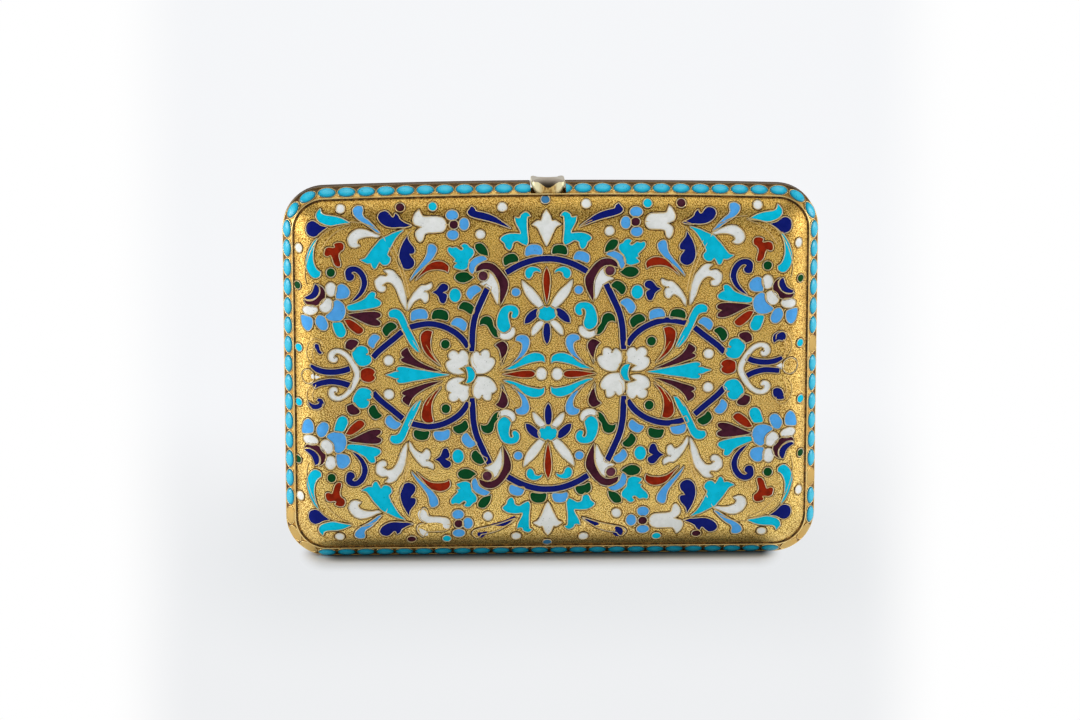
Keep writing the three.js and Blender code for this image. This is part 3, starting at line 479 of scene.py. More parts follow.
        (44.87, 33.6), (45.57, 33.93), (46.36, 33.66), (46.84, 32.85), (47.08, 31.65, TIP), (46.23, 31.52),
        (45.34, 31.85), (44.85, 32.61),
    ]),
    "silver_bit_right": (WHITE, HERE, (), [
        (45.52, 38.36, TIP), (46.42, 38.84), (46.87, 38.72), (46.81, 37.93), (46.41, 37.84),
    ]),
    "silver_bit_left": (WHITE, HERE, (), [
        (-47.83, 37.96), (-47.03, 37.73), (-46.32, 37.54, TIP), (-47.02, 37.28), (-47.82, 37.21),
    ]),
    "leaf_rest_left": (COBALT, HERE, (), [
        (-7.19, 8.69, TIP), (-8.39, 8.09), (-9.58, 7.49), (-10.88, 7.19), (-12.07, 6.94, TIP), (-10.68, 6.69),
        (-9.39, 6.69), (-8.29, 7.44),
    ]),
    "leaf_end_left": (COBALT, HERE, (), [
        (-14.66, 5.03), (-13.87, 5.08), (-12.87, 5.28, TIP), (-13.27, 4.63), (-13.97, 3.98), (-14.57, 4.33),
    ]),
    "leaf_rest_right": (COBALT, HERE, (), [
        (6.89, 7.75, TIP), (8.08, 7.48), (9.17, 7.07), (9.66, 6.62, TIP), (8.67, 6.43), (7.78, 6.94),
    ]),
    "leaf_end_right": (COBALT, HERE, (), [
        (13.03, 5.88), (13.92, 5.81), (14.46, 5.06), (14.15, 4.06), (13.31, 3.82), (12.52, 4.53, TIP), (13.12, 5.07),
    ]),
    "tulip_rest": (WHITE, HERE, (), [
        (-26.67, 9.51), (-25.98, 10.11), (-25.18, 9.62), (-24.79, 8.72), (-23.59, 8.42), (-22, 8.53), (-20.91, 8.23),
        (-20.37, 7.43), (-20.42, 6.63), (-21.02, 6.17), (-21.61, 6.52), (-21.81, 7.22), (-22.9, 7.52), (-24.19, 7.51),
        (-25.29, 7.51), (-26.08, 7.91), (-26.58, 8.6),
    ]),
    "tulip_rest_low": (WHITE, HERE, (), [
        (-26.49, 6.1, TIP), (-25.79, 5.8), (-25, 5.25), (-24.9, 4.65), (-25.6, 4.54), (-26.19, 5.09),
    ]),
}
DOTS = {
    "corner_dot": (WHITE, FOURFOLD, (0.4, -0.5, -0.65, 0.2, 1, 0.1), ((-41.9, 71.33), (0.8, 0.68))),
    "side_dot_white": (WHITE, FOURFOLD, (0, -0.3, -0.1, 0.2, 0, 0), ((-50.3, 63.38), (0.62, 0.85))),
    "dot_green": (GREEN, FOURFOLD, (0.2, 0.1, -0.2, -0.1, 0.2, -0.2), ((-43.88, 58.85), (0.85, 0.87))),
    "dot_maroon": (MAROON, FOURFOLD, (-2.75, -0.05, 1.85, -0.15, 0.05, 0.25), ((-29.92, 71.63), (0.85, 0.68))),
    "dot_turquoise": (TURQUOISE, FOURFOLD, (-2.85, -0.05, 2.45, 0.15, -1.35, 0.05),
        ((-23.4, 71.8), (0.82, 0.7))),
    "petal_top": (AZURE, FOURFOLD, (-1.25, 0.1, 0.95, -0.15, -0.15, 0.15), ((-19.5, 70.22), (1.2, 0.88))),
    "flower_side": (AZURE, FOURFOLD, (-0.95, -0.2, 0.4, 0.3, -0.1, 0.45), ((-17.12, 68.55), (0.98, 1.15))),
    "petal_bottom": (AZURE, FOURFOLD, (-1.1, 0.1, 0.7, 0, 0, 0.1), ((-19.4, 66.45), (1.15, 0.95))),
    "flower_eye": (MAROON, FOURFOLD, (-1.1, 0, 0.6, 0.1, 0.15, 0.2), ((-19.18, 68.45), (0.88, 0.8))),
    "dot_upper": (WHITE, FOURFOLD, (-0.95, 0.35, 2.45, 0.45, -1.85, 0.15), ((-9.42, 71.63), (0.85, 0.7))),
    "dot_lower": (WHITE, FOURFOLD, (-0.9, 0.3, 1.2, -0.3, 0.25, -0.05), ((-13.88, 66.5), (0.85, 0.85))),
    "axis_dot": (SLATE, UPDOWN, (), ((-0.7, 72.83), (0.85, 0.62))),
    "paisley_ball": (PLUM, FOURFOLD, (-0.3, 0.7, 0.6, -0.5, -0.3, 0), ((-13.35, 58.12), (0.95, 0.95))),
    "side_dot_green": (GREEN, FOURFOLD, (0.1, 0, -0.2, 0, 0.1, -0.1), ((-50.6, 55.8), (0.6, 0.75))),
    "side_dot_turquoise": (TURQUOISE, FOURFOLD, (0.2, -0.5, -0.1, -1, 0.3, -1.8),
        ((-50.43, 43.13), (0.62, 0.75))),
    "rosette_white_top": (WHITE, FOURFOLD, (0.2, 0.2, -0.4, -0.4, 0.3, -0.2), ((-43.88, 55.45), (1.02, 1.35))),
    "rosette_white_mid": (WHITE, FOURFOLD, (0.1, 0.2, -0.1, -0.4, 0, -0.2), ((-44.85, 52.2), (1.2, 1.45), -30)),
    "rosette_white_low": (WHITE, FOURFOLD, (0.1, 0, -0.1, -0.3, 0, -0.2), ((-48.1, 51.1), (1.45, 0.9), 10)),
    "loop_dot": (TURQUOISE, FOURFOLD, (-0.6, 0.1, 0.4, -0.3, -0.1, -0.2), ((-19, 54.25), (1.15, 1.38))),
    "boot_dot": (AZURE, FOURFOLD, (0.1, 0.3, 0.3, 0.2, 0.1, 0.1), ((-6.8, 54.75), (0.85, 0.82))),
    "pair_dot": (WHITE, SIDEWAYS, (0.9, -0.1), ((-1.75, 38.05), (1, 1.18))),
    "loop_dot_green": (GREEN, FOURFOLD, (0.2, 0, 0, -0.6, -0.3, -0.5), ((-21, 44.3), (0.88, 0.92))),
    "loop_dot_white": (WHITE, FOURFOLD, (0, 0.4, 0, -1, -0.1, -0.5), ((-32.42, 41), (0.92, 0.9))),
    "ring_left": (WHITE, HERE, (), ((-48.63, 37.5), (1.15, 1.35))),
    "ring_right": (WHITE, HERE, (), ((48.3, 38.28), (1.45, 1.55))),
}
BANDS = {
    "c_scroll": (WHITE, SIDEWAYS, (), doubled(UP, [
        (-42.9, 41.5, 0.35), (-43.25, 41.15, 0.95), (-43.75, 41.3, 1.2), (-43.95, 41.85, 1.1), (-43.7, 42.5, 0.95),
        (-42.75, 42.9, 0.75), (-41.5, 42.5, 0.75), (-40.38, 41.45, 0.8), (-39.5, 40.08, 0.9), (-38.92, 38.88, 0.95),
        (-38.75, 38.05, 0.95),
    ])),
    "side_bar_upper_left": (COBALT, HERE, (), [
        (-48.03, 39.86, 0.5), (-46.83, 39.08, 1.1), (-45.13, 38.65, 1.15), (-43.12, 38.63, 1.15),
        (-41.42, 38.95, 1.15), (-40.22, 39.36, 1.2),
    ]),
    "side_bar_lower_left": (COBALT, HERE, (), [
        (-47.52, 35.62, 1), (-46.12, 36.29, 1.1), (-44.12, 36.67, 1.15), (-42.12, 36.44, 1.15), (-40.12, 35.82, 1.2),
    ]),
    "side_bar_upper_right": (COBALT, HERE, (), [
        (39.72, 40.3, 1.1), (40.76, 39.74, 1.1), (42.45, 39.35, 1.1), (44.04, 39.3, 1.1), (45.43, 39.56, 1.05),
        (46.63, 40.12, 0.7),
    ]),
    "side_bar_lower_right": (COBALT, HERE, (), [
        (39.58, 36.62, 1.1), (40.64, 37.16, 1.1), (42.23, 37.61, 1.1), (43.72, 37.72, 1.1), (46.1, 37.45, 1),
    ]),
    "big_ring": (COBALT, UPDOWN, (), doubled(ACROSS, [
        (-8.72, 58.75, 1.2), (-6.75, 59.9, 1.2), (-4.75, 60.75, 1.2), (-2.62, 61.3, 1.2), (-0.6, 61.45, 1.2),
    ])),
    "big_ring_side": (COBALT, FOURFOLD, (), [
        (-12.25, 56.1, 1.15), (-12.7, 55.2, 1.2), (-13.7, 53.05, 1.2), (-14.88, 50.25, 1.2), (-15.45, 47.5, 1.2),
        (-15.6, 45, 1.2), (-15.7, 42.8, 1.05),
    ]),
    "loop_ring": (COBALT, FOURFOLD, (), [
        (-35.55, 41.6, 1.15), (-34.5, 42.8, 1.15), (-33.12, 44, 1.15), (-31.62, 45.2, 1.15), (-30.1, 46.5, 1.15),
        (-29.65, 46.87, 1.15),
    ]),
    "loop_ring_top": (COBALT, FOURFOLD, (), [
        (-28.2, 47.72, 1.15), (-27.75, 47.9, 1.15), (-26, 48.3, 1.15), (-24.25, 48.5, 1.15), (-22.5, 48.25, 1.15),
        (-20.88, 47.7, 1.15), (-19.38, 46.9, 1.15), (-18.12, 45.92, 1.15), (-17.12, 44.75, 1.15), (-16.52, 43.6, 0.9),
    ]),
}

# Half-round drops of enamel outside the dark rings: place, length and colour
RING_DROPS = [
    (-8.3, 62, 3.1, GREEN), (-3.7, 63.75, 3.5, AZURE), (1.5, 63.8, 3.1, GREEN), (5.9, 62.4, 3.2, AZURE),
    (-15.7, 55.5, 3.1, AZURE), (-17.2, 52.2, 3.1, GREEN), (-18.7, 48.9, 3.2, AZURE), (-22.5, 50.7, 3.4, GREEN),
    (-26.7, 50.8, 3.5, AZURE), (-32.6, 48.1, 3.1, GREEN), (-35.7, 45.7, 2.8, AZURE), (13.3, 56.2, 3.1, GREEN),
    (15.2, 52.5, 3.3, AZURE), (17.2, 49.4, 3.2, GREEN), (21.1, 50.6, 3.2, AZURE), (25.3, 50.5, 3.2, GREEN),
    (30.9, 48.7, 3, AZURE), (33.9, 46.6, 3, GREEN), (-35.6, 31.2, 3, GREEN), (-32.1, 29.1, 3.2, AZURE),
    (-26.4, 26.6, 3.2, GREEN), (-22.3, 26.5, 3.3, AZURE), (-18.5, 28, 3.2, GREEN), (-16.8, 25.2, 3.2, AZURE),
    (-14.8, 21.7, 3.2, GREEN), (34, 31.7, 3, AZURE), (30.8, 29.4, 3.1, GREEN), (25.5, 27.4, 3.2, AZURE),
    (21, 26.6, 3.2, GREEN), (17, 27.9, 3.1, AZURE), (15.5, 24.9, 3, GREEN), (13.7, 21.7, 3, AZURE),
    (-7.2, 14.9, 3.1, AZURE), (-2.8, 13.4, 3.3, GREEN), (1.6, 13.4, 3.2, AZURE), (6.3, 15.1, 3.2, GREEN),
]
# How far they stand off the ring beyond these places, and the shape of one that is 1 mm long
DROP_GAP = 0.25
DROP_OUTLINE = [(-0.5, -0.2), (-0.43, 0.17), (-0.2, 0.31), (0.1, 0.33), (0.38, 0.22), (0.5, -0.08), (0.42, -0.28),
                (0.15, -0.26), (-0.15, -0.24), (-0.4, -0.3)]
# What the drops turn away from: the large ring, above and below it, or else the loop on their side
RING_X, RING_Z = -0.85, PATTERN_Z + 0.7
RING_REACH, RING_FLANK = 16.7, 12.8
LOOP_X, LOOP_MIDDLE = 24.0, -0.4

# Wires that stand alone, as stems and scrolls on the bare ground
STEMS = [
    [(-39.9, 68.6), (-43.2, 67.8), (-45.8, 66.2), (-47.6, 63.6), (-48.7, 60.6), (-49.1, 58.2), (-48.7, 56.2)],
    [(-39.9, 68.3), (-42.6, 67.1), (-44.6, 65.3), (-45.9, 63.2)],
    [(-40.1, 69), (-37.2, 68.7), (-34.6, 67.6)],
    [(-34.3, 66.8), (-33.4, 66.2), (-32.9, 65.2)],
    [(-32.2, 63.9), (-30.9, 61.6), (-30, 59.3), (-29.2, 56.6), (-28.6, 53.9)],
    [(-31.4, 64.4), (-30.2, 61.8), (-29.3, 59.2), (-28.6, 56.6), (-28.2, 54.4)],
    [(-27.6, 68.4), (-28.6, 68), (-29.6, 67.6)],
    [(-27.6, 67.4), (-28.2, 66.9), (-28.5, 66.4)],
    [(-21, 68.4), (-20.1, 68.5)],
    [(-6.6, 67.2), (-8.2, 68.4), (-9.6, 69)],
    [(-47.9, 40), (-48.8, 41.6), (-48.8, 43.4), (-48, 44.9), (-46.9, 45.4), (-45.9, 44.9), (-45.7, 43.9)],
    [(-47, 40.1), (-47.7, 41.6), (-47.7, 42.9), (-47.2, 43.8)],
    [(-27.6, 45.2), (-25.6, 42.2), (-22.4, 39.6)],
    [(-24.9, 44.2), (-23.3, 41.6), (-21.7, 39.7)],
    [(-10.2, 40.4), (-8.6, 42.4), (-7, 44.2)],
    [(-10.3, 39.4), (-8.4, 40.6), (-6.6, 41.6)],
    [(-10.2, 38.7), (-8.3, 39), (-6.9, 39)],
    [(-2.6, 46.2), (-3.4, 45.2), (-4.2, 44.4)],
    [(-16.2, 42.3), (-16.3, 40.6), (-16.9, 39.8)],
    [(-15.5, 42.3), (-15.4, 40.6), (-14.7, 39.6)],
]

# Cells whose enamel has broken out: the name and the quarter of the panel
LOST = {("long_leaf", (1, -1)), ("long_leaf", (-1, -1)), ("tulip", (1, -1)), ("ring_left", (1, 1)),
        ("ring_right", (1, 1))}

# Figures drawn fuller than their outlines above, in millimetres all round, beside what all are grown by: the
# outlines follow the visible edge of the enamel, and the wire stands outside it
FULLER = {"loop_long_leaf": 0.22, "axis_petal_blue": 0.08, "kidney": 0.1}
OUTLINE_GROWTH = 0.1

# Remains of broken enamel, which lie on the ground without a wire round them
UNWIRED = ("leaf_rest", "leaf_end", "tulip_rest", "silver_bit")

# Figures laid narrower than the others: the name and the quarter
NARROWED = {("tulip", (-1, 1)): 0.88}


# Shapes shared by the sheet, the wire and the enamel

CORNER_STEPS = 18
BOW_STEPS = 24


def outline(inset):
    """Plan outline of the case at an inset, anticlockwise from the lower right corner, with its bowed top."""
    radius = CORNER - min(inset, BAND_INSET) - max(0.0, inset - BAND_INSET) * CORNER_EASE
    right = HALF_WIDTH - inset - radius
    low = inset + radius
    high = HEIGHT - inset - radius
    centres = ((right, low), (right, high), (-right, high), (-right, low))
    points = []
    for corner, (x, z) in enumerate(centres):
        for step in range(CORNER_STEPS + 1):
            angle = math.radians(90 * (corner - 1 + step / CORNER_STEPS))
            reach = (radius * math.cos(angle), radius * math.sin(angle))
            points.append((x + reach[0], z + reach[1]))
        next_x, next_z = centres[(corner + 1) % 4]
        steps = BOW_STEPS if corner in (1, 3) else BOW_STEPS // 2
        for step in range(1, steps):
            share = step / steps
            bow = TOP_BOW * (1 - (1 - 2 * share) ** 2) if corner == 1 else 0.0
            points.append((x + (next_x - x) * share + reach[0], z + (next_z - z) * share + reach[1] + bow))
    return points


def inset_at(x, z):
    """How far a point of the panel lies inside the outline."""
    radius = CORNER - BAND_INSET
    right = HALF_WIDTH - BAND_INSET - radius
    middle = HEIGHT / 2
    across = abs(x)
    if z > middle and across < right:
        z -= TOP_BOW * (1 - (x / right) ** 2)
    u = across - right
    v = abs(z - middle) - (middle - BAND_INSET - radius)
    keep = 1 - CORNER_EASE
    a = 2 * keep * keep - CORNER_EASE * CORNER_EASE
    b = keep * (u + v) + CORNER_EASE * radius
    root = b * b - a * (u * u + v * v - radius * radius)
    if root > 0:
        travel = (-b + math.sqrt(root)) / a
        if u + keep * travel > 0 and v + keep * travel > 0:
            return BAND_INSET + travel
    return BAND_INSET + radius - max(u, v)


def panel_depth(inset, drop):
    """Depth of the rolled panel from the parting plane, less a drop measured square to it."""
    reach = max(0.0, FLAT_INSET - inset)
    radius = ROLL - drop
    return ROLL_CENTRE + math.sqrt(max(0.0, radius * radius - reach * reach))


def on_panel(side, x, z, lift):
    """The point of the ornament's ground at x, z, raised square to the sheet."""
    inset = inset_at(x, z)
    lean = min(0.95, max(0.0, FLAT_INSET - inset) / (ROLL - GROUND_DROP))
    step = 0.02
    slope_x = (inset_at(x + step, z) - inset_at(x - step, z)) / (2 * step)
    slope_z = (inset_at(x, z + step) - inset_at(x, z - step)) / (2 * step)
    depth = panel_depth(inset, GROUND_DROP) + math.sqrt(1 - lean * lean) * lift
    return Vector((x - slope_x * lean * lift, side * depth, z - slope_z * lean * lift))


def smooth_path(points, closed=True, steps=4):
    """A curve through control points; it turns sharply at each point marked as a tip."""
    longest = 1.2
    places = [Vector(point[:2]) for point in points]
    tips = [len(point) > 2 and point[2] == TIP for point in points]
    count = len(places)
    path = []
    for i in range(count if closed else count - 1):
        start, end = places[i], places[(i + 1) % count]
        before = places[i - 1] if closed or i > 0 else start
        after = places[(i + 2) % count] if closed or i + 2 < count else end
        span = end - start
        leave = span if tips[i] else (end - before) / 2
        arrive = span if tips[(i + 1) % count] else (after - start) / 2
        for tangent in (leave, arrive):
            if tangent.length > longest * span.length:
                tangent *= longest * span.length / tangent.length
        for step in range(steps):
            t = step / steps
            path.append(start * (2 * t ** 3 - 3 * t * t + 1) + leave * (t ** 3 - 2 * t * t + t)
                        + end * (3 * t * t - 2 * t ** 3) + arrive * (t ** 3 - t * t))
    if not closed:
        path.append(places[-1])
    return [tuple(point) for point in path]


def oval(centre, radii, turn=0.0, steps=20):
    """The outline of an oval, its first radius turned by some degrees."""
    cosine, sine = math.cos(math.radians(turn)), math.sin(math.radians(turn))
    points = []
    for step in range(steps):
        angle = 2 * math.pi * step / steps
        u, v = radii[0] * math.cos(angle), radii[1] * math.sin(angle)
        points.append((centre[0] + u * cosine - v * sine, centre[1] + u * sine + v * cosine))
    return points


def ribbon(points):
    """The outline of a band of changing width, from its middle line."""
    steps = 4
    path = smooth_path(points, closed=False, steps=steps)
    left, right = [], []
    for i, (x, z) in enumerate(path):
        first, share = divmod(i, steps)
        width, wanted = points[first][2], points[min(first + 1, len(points) - 1)][2]
        ahead = Vector(path[min(i + 1, len(path) - 1)])
        behind = Vector(path[max(i - 1, 0)])
        way = (ahead - behind).normalized() * (width + (wanted - width) * share / steps) / 2
        left.append((x - way.y, z + way.x))
        right.append((x + way.y, z - way.x))
    return left + right[::-1]


def grown(points, by):
    """A closed outline moved outwards by a distance."""
    area = sum(a[0] * b[1] - b[0] * a[1] for a, b in zip(points, points[1:] + points[:1]))
    moved = []
    for i, (x, z) in enumerate(points):
        before, after = Vector(points[i - 1]), Vector(points[(i + 1) % len(points)])
        way = (after - before).normalized() * math.copysign(by, area)
        moved.append((x + way.y, z - way.x))
    return moved


def drifted(x, z):
    """Where the hand-laid pattern, a little out of true across the panel, puts a point."""
    u = (x - PATTERN_X) / DRIFT_SPAN[0]
    v = (z - PATTERN_Z) / DRIFT_SPAN[1]
    terms = (1, u, v, u * u, u * v, v * v)
    return (x + sum(a * b for a, b in zip(DRIFT_X, terms)), z + sum(a * b for a, b in zip(DRIFT_Z, terms)))


def placed(points, quarter, shift=(0, 0), width=1.0):
    """The same outline in another quarter of the panel; the right and the lower part are set a little wider."""
    spread = [way * (STRETCH if way < 0 else 1) for way in quarter]
    moved = []
    for x, z in points:
        x, z = drifted(PATTERN_X + (x - PATTERN_X) * spread[0], PATTERN_Z + (z - PATTERN_Z) * spread[1])
        moved.append((x + shift[0], z + shift[1]))
    middle = sum(x for x, z in moved) / len(moved)
    return [(middle + (x - middle) * width, z) for x, z in moved]


def ring_drop(x, z, length):
    """One half-round drop, turned so that its flat side lies along the ring it stands on."""
    centre = Vector((RING_X, RING_Z))
    if abs(x - LOOP_MIDDLE) >= RING_REACH or abs(z - RING_Z) <= RING_FLANK:
        centre.x = math.copysign(LOOP_X, x) + LOOP_MIDDLE
    away = Vector((x, z)) - centre
    if abs(away.x) < 5:
        away.x *= 0.7
    foot = Vector((x, z)) + away.normalized() * DROP_GAP
    turn = Matrix.Rotation(math.atan2(away.y, away.x) - math.pi / 2, 2)
    return smooth_path([foot + turn @ Vector(point) * length for point in DROP_OUTLINE], steps=3)


def ornament():
    """Every cell of one panel as (name, colour, outline, filled)."""
    drawn = [(name, *head, smooth_path(points)) for name, (*head, points) in CELLS.items()]
    drawn += [(name, *head, oval(*shape)) for name, (*head, shape) in DOTS.items()]
    drawn += [(name, *head, ribbon(points)) for name, (*head, points) in BANDS.items()]
    cells = []
    for name, colour, quarters, shifts, path in drawn:
        shifts = (0, 0, *(shifts or (0, 0) * 3))
        for quarter, shift in zip(quarters, zip(shifts[::2], shifts[1::2])):
            cell = placed(path, quarter, shift, NARROWED.get((name, quarter), 1.0))
            cells.append((name, colour, cell, (name, quarter) not in LOST))
    cells += [("ring_drop", colour, ring_drop(x, z, length), True) for x, z, length, colour in RING_DROPS]
    return [(name, colour, grown(path, OUTLINE_GROWTH + FULLER.get(name, 0.0)), filled)
            for name, colour, path, filled in cells]


# Making meshes

def linked(name, data):
    """A new object in the scene."""
    made = bpy.data.objects.new(name, data)
    bpy.context.scene.collection.objects.link(made)
    return made


def dressed(name, mesh, body, finish, replaces):
    """A finished piece that rides on its body, in place of the nodes it stands for."""
    mesh.materials.append(finish)
    piece = linked(name, mesh)
    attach(piece, body)
    if replaces:
        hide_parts(*replaces)
    return piece


def new_piece(name, bm, body, finish, replaces=(), smooth_angle=35):
    """Turns a bmesh in millimetres into a finished piece in metres."""
    bmesh.ops.scale(bm, vec=(MM, MM, MM), verts=bm.verts)
    mesh = bpy.data.meshes.new(name)
    bm.to_mesh(mesh)
    bm.free()
    mesh.shade_smooth()
    mesh.set_sharp_from_angle(angle=math.radians(smooth_angle))
    return dressed(name, mesh, body, finish, replaces)


def wire_piece(name, paths, radius, body, finish, sides=0, replaces=(), closed=True):
    """Round wire along paths of points in millimetres, as one piece."""
    curve = bpy.data.curves.new(name, "CURVE")
    curve.dimensions = "3D"
    curve.bevel_depth = radius * MM
    curve.bevel_resolution = sides
    curve.use_fill_caps = True
    for path in paths:
        spline = curve.splines.new("POLY")
        spline.points.add(len(path) - 1)
        for point, place in zip(spline.points, path):
            point.co = (*(Vector(place) * MM), 1)
        spline.use_cyclic_u = closed
    holder = linked(name, curve)
    depsgraph = bpy.context.evaluated_depsgraph_get()
    mesh = bpy.data.meshes.new_from_object(holder.evaluated_get(depsgraph))
    bpy.data.objects.remove(holder)
    bpy.data.curves.remove(curve)
    mesh.name = name
    mesh.shade_smooth()
    mesh.materials.clear()
    return dressed(name, mesh, body, finish, replaces)


def loft(bm, rings, closed=False):
    """Extrudes a ring of edges from one set of places to the next; the ends are filled or joined."""
    first = [bm.verts.new(point) for point in rings[0]]
    loop = [bm.edges.new((first[i - 1], first[i])) for i in range(len(first))]
    start = loop
    verts = first
    for ring in rings[1:] + ([rings[0]] if closed else []):
        made = bmesh.ops.extrude_edge_only(bm, edges=loop)["geom"]
        fresh = {item for item in made if isinstance(item, bmesh.types.BMVert)}
        loop = [item for item in made if isinstance(item, bmesh.types.BMEdge)
                and item.verts[0] in fresh and item.verts[1] in fresh]
        verts = [next(edge.other_vert(old) for edge in old.link_edges if edge.other_vert(old) in fresh)
                 for old in verts]
        for vert, place in zip(verts, ring):
            vert.co = place
    if closed:
        bmesh.ops.weld_verts(bm, targetmap=dict(zip(verts, first)))
    else:
        for ends in (start, loop):
            bmesh.ops.edgeloop_fill(bm, edges=ends)
    bmesh.ops.recalc_face_normals(bm, faces=bm.faces)
    if bm.calc_volume(signed=True) < 0:
        bmesh.ops.reverse_faces(bm, faces=bm.faces)


def swept_ring(profile, side):
    """Rings of a profile of (inset, depth) carried round the outline."""
    return [[(x, side * depth, z) for x, z in outline(inset)] for inset, depth in profile]


def stations(low, high, steps):
    """Places along a length, both ends among them."""
    return [low + (high - low) * step / steps for step in range(steps + 1)]


def squarish(angle, powers):
    """A point of a ring that is more or less squared off."""
    return [math.copysign(abs(value) ** power, value)
            for value, power in zip((math.cos(angle), math.sin(angle)), powers)]


def block(low, high):
    """A box between two corners."""
    bm = bmesh.new()
    low, high = Vector(low), Vector(high)
    bmesh.ops.create_cube(bm, size=1.0, matrix=Matrix.Translation((low + high) / 2)
                          @ Matrix.Diagonal((*(high - low), 1.0)))
    return bm


def turned(profile, axis, centre, steps=32):
    """Spins a profile of (radius, along) about an axis, as on a lathe."""
    bm = bmesh.new()
    along, out = {"X": ((1, 0, 0), (0, 0, 1)), "Z": ((0, 0, 1), (1, 0, 0))}[axis]
    verts = [bm.verts.new(Vector(centre) + Vector(along) * shift + Vector(out) * radius)
             for radius, shift in profile]
    edges = [bm.edges.new(pair) for pair in zip(verts, verts[1:])]
    bmesh.ops.spin(bm, geom=verts + edges, cent=centre, axis=along, angle=2 * math.pi, steps=steps,
                   use_merge=True, use_duplicate=False)
    bmesh.ops.remove_doubles(bm, verts=bm.verts, dist=1e-4)
    bmesh.ops.recalc_face_normals(bm, faces=bm.faces)
    return bm


def notch_block():
    """What the thumb piece needs of the top edge: flared like its sides, with room to go down."""
    bm = bmesh.new()
    loft(bm, [[(THUMB_X - half, -NOTCH_DEPTH, z), (THUMB_X + half, -NOTCH_DEPTH, z),
               (THUMB_X + half, NOTCH_DEPTH, z), (THUMB_X - half, NOTCH_DEPTH, z)] for z, half in NOTCH_LEVELS])
    return bm


def joined(target, bm):
    """Adds one bmesh to another."""
    mesh = bpy.data.meshes.new("part")
    bm.to_mesh(mesh)
    bm.free()
    target.from_mesh(mesh)
    bpy.data.meshes.remove(mesh)


def cut_away(bm, tools):
    """Cuts closed shapes out of a closed shape."""
    helpers = []
    for shape in [bm] + tools:
        helper = linked("cutting", bpy.data.meshes.new("cutting"))
        shape.to_mesh(helper.data)
        shape.free()
        helpers.append(helper)
    body = helpers[0]
    for tool in helpers[1:]:
        cut = body.modifiers.new("cut", "BOOLEAN")
        cut.operation = "DIFFERENCE"
        cut.solver = "EXACT"
        cut.object = tool
    bpy.context.view_layer.update()
    depsgraph = bpy.context.evaluated_depsgraph_get()
    result = bmesh.new()
    result.from_mesh(body.evaluated_get(depsgraph).to_mesh())
    for helper in helpers:
        mesh = helper.data
        bpy.data.objects.remove(helper)
        bpy.data.meshes.remove(mesh)
    return result


def sliced(bm, place, way, clear=False, snap=0.0):
    """Cuts a mesh along a plane, and clears what lies behind it."""
    bmesh.ops.bisect_plane(bm, geom=bm.verts[:] + bm.edges[:] + bm.faces[:], dist=snap, plane_co=place,
                           plane_no=way, clear_inner=clear)


def distance_to(path, x, z):
    """Distance from a point to a closed outline."""
    nearest = math.inf
    for (ax, az), (bx, bz) in zip(path, path[1:] + path[:1]):
        wx, wz = bx - ax, bz - az
        length = wx * wx + wz * wz
        t = 0.0 if length == 0 else min(1.0, max(0.0, ((x - ax) * wx + (z - az) * wz) / length))
        nearest = min(nearest, math.hypot(x - ax - t * wx, z - az - t * wz))
    return nearest


def fill_cell(bm, side, path, low, rise):
    """One cell of enamel: a flat face cut into a grid, domed, and laid on the rolled panel."""
    grid, shoulder = 0.8, 0.3
    cell = bmesh.new()
    cell.faces.new([cell.verts.new((x, 0, z)) for x, z in path])
    for way, values in ((Vector((1, 0, 0)), [x for x, z in path]), (Vector((0, 0, 1)), [z for x, z in path])):
        plane = math.floor(min(values) / grid + 1) * grid
        while plane < max(values):
            sliced(cell, way * plane, way, snap=1e-4)
            plane += grid
    bmesh.ops.triangulate(cell, faces=cell.faces)
    cell.verts.index_update()
    made = []
    for vert in cell.verts:
        depth = distance_to(path, vert.co.x, vert.co.z)
        height = low + rise * (1 - math.exp(-depth / shoulder))
        made.append(bm.verts.new(on_panel(side, vert.co.x, vert.co.z, height)))
    for face in cell.faces:
        new_face = bm.faces.new([made[vert.index] for vert in face.verts])
        new_face.normal_update()
        if new_face.normal.y * side < 0:
            new_face.normal_flip()
    cell.free()


# Finishes

def sum_method(operation, swapped=False):
    """An operator of a level, which adds one Math node."""
    def method(self, other):
        return self.finish.maths(operation, *((other, self) if swapped else (self, other)))
    return method


class Level:
    """A number that changes over a surface; sums on it add Math nodes."""

    def __init__(self, finish, socket):
        self.finish = finish
        self.socket = socket

    __add__, __radd__ = sum_method("ADD"), sum_method("ADD")
    __sub__, __rsub__ = sum_method("SUBTRACT"), sum_method("SUBTRACT", swapped=True)
    __mul__, __rmul__ = sum_method("MULTIPLY"), sum_method("MULTIPLY")

    def above(self, edge, softness):
        """0 below the edge and 1 above it, with a soft step."""
        return self.finish.level("ShaderNodeMapRange", {"interpolation_type": "SMOOTHSTEP"}, {
            "Value": self, "From Min": edge - softness, "From Max": edge + softness})


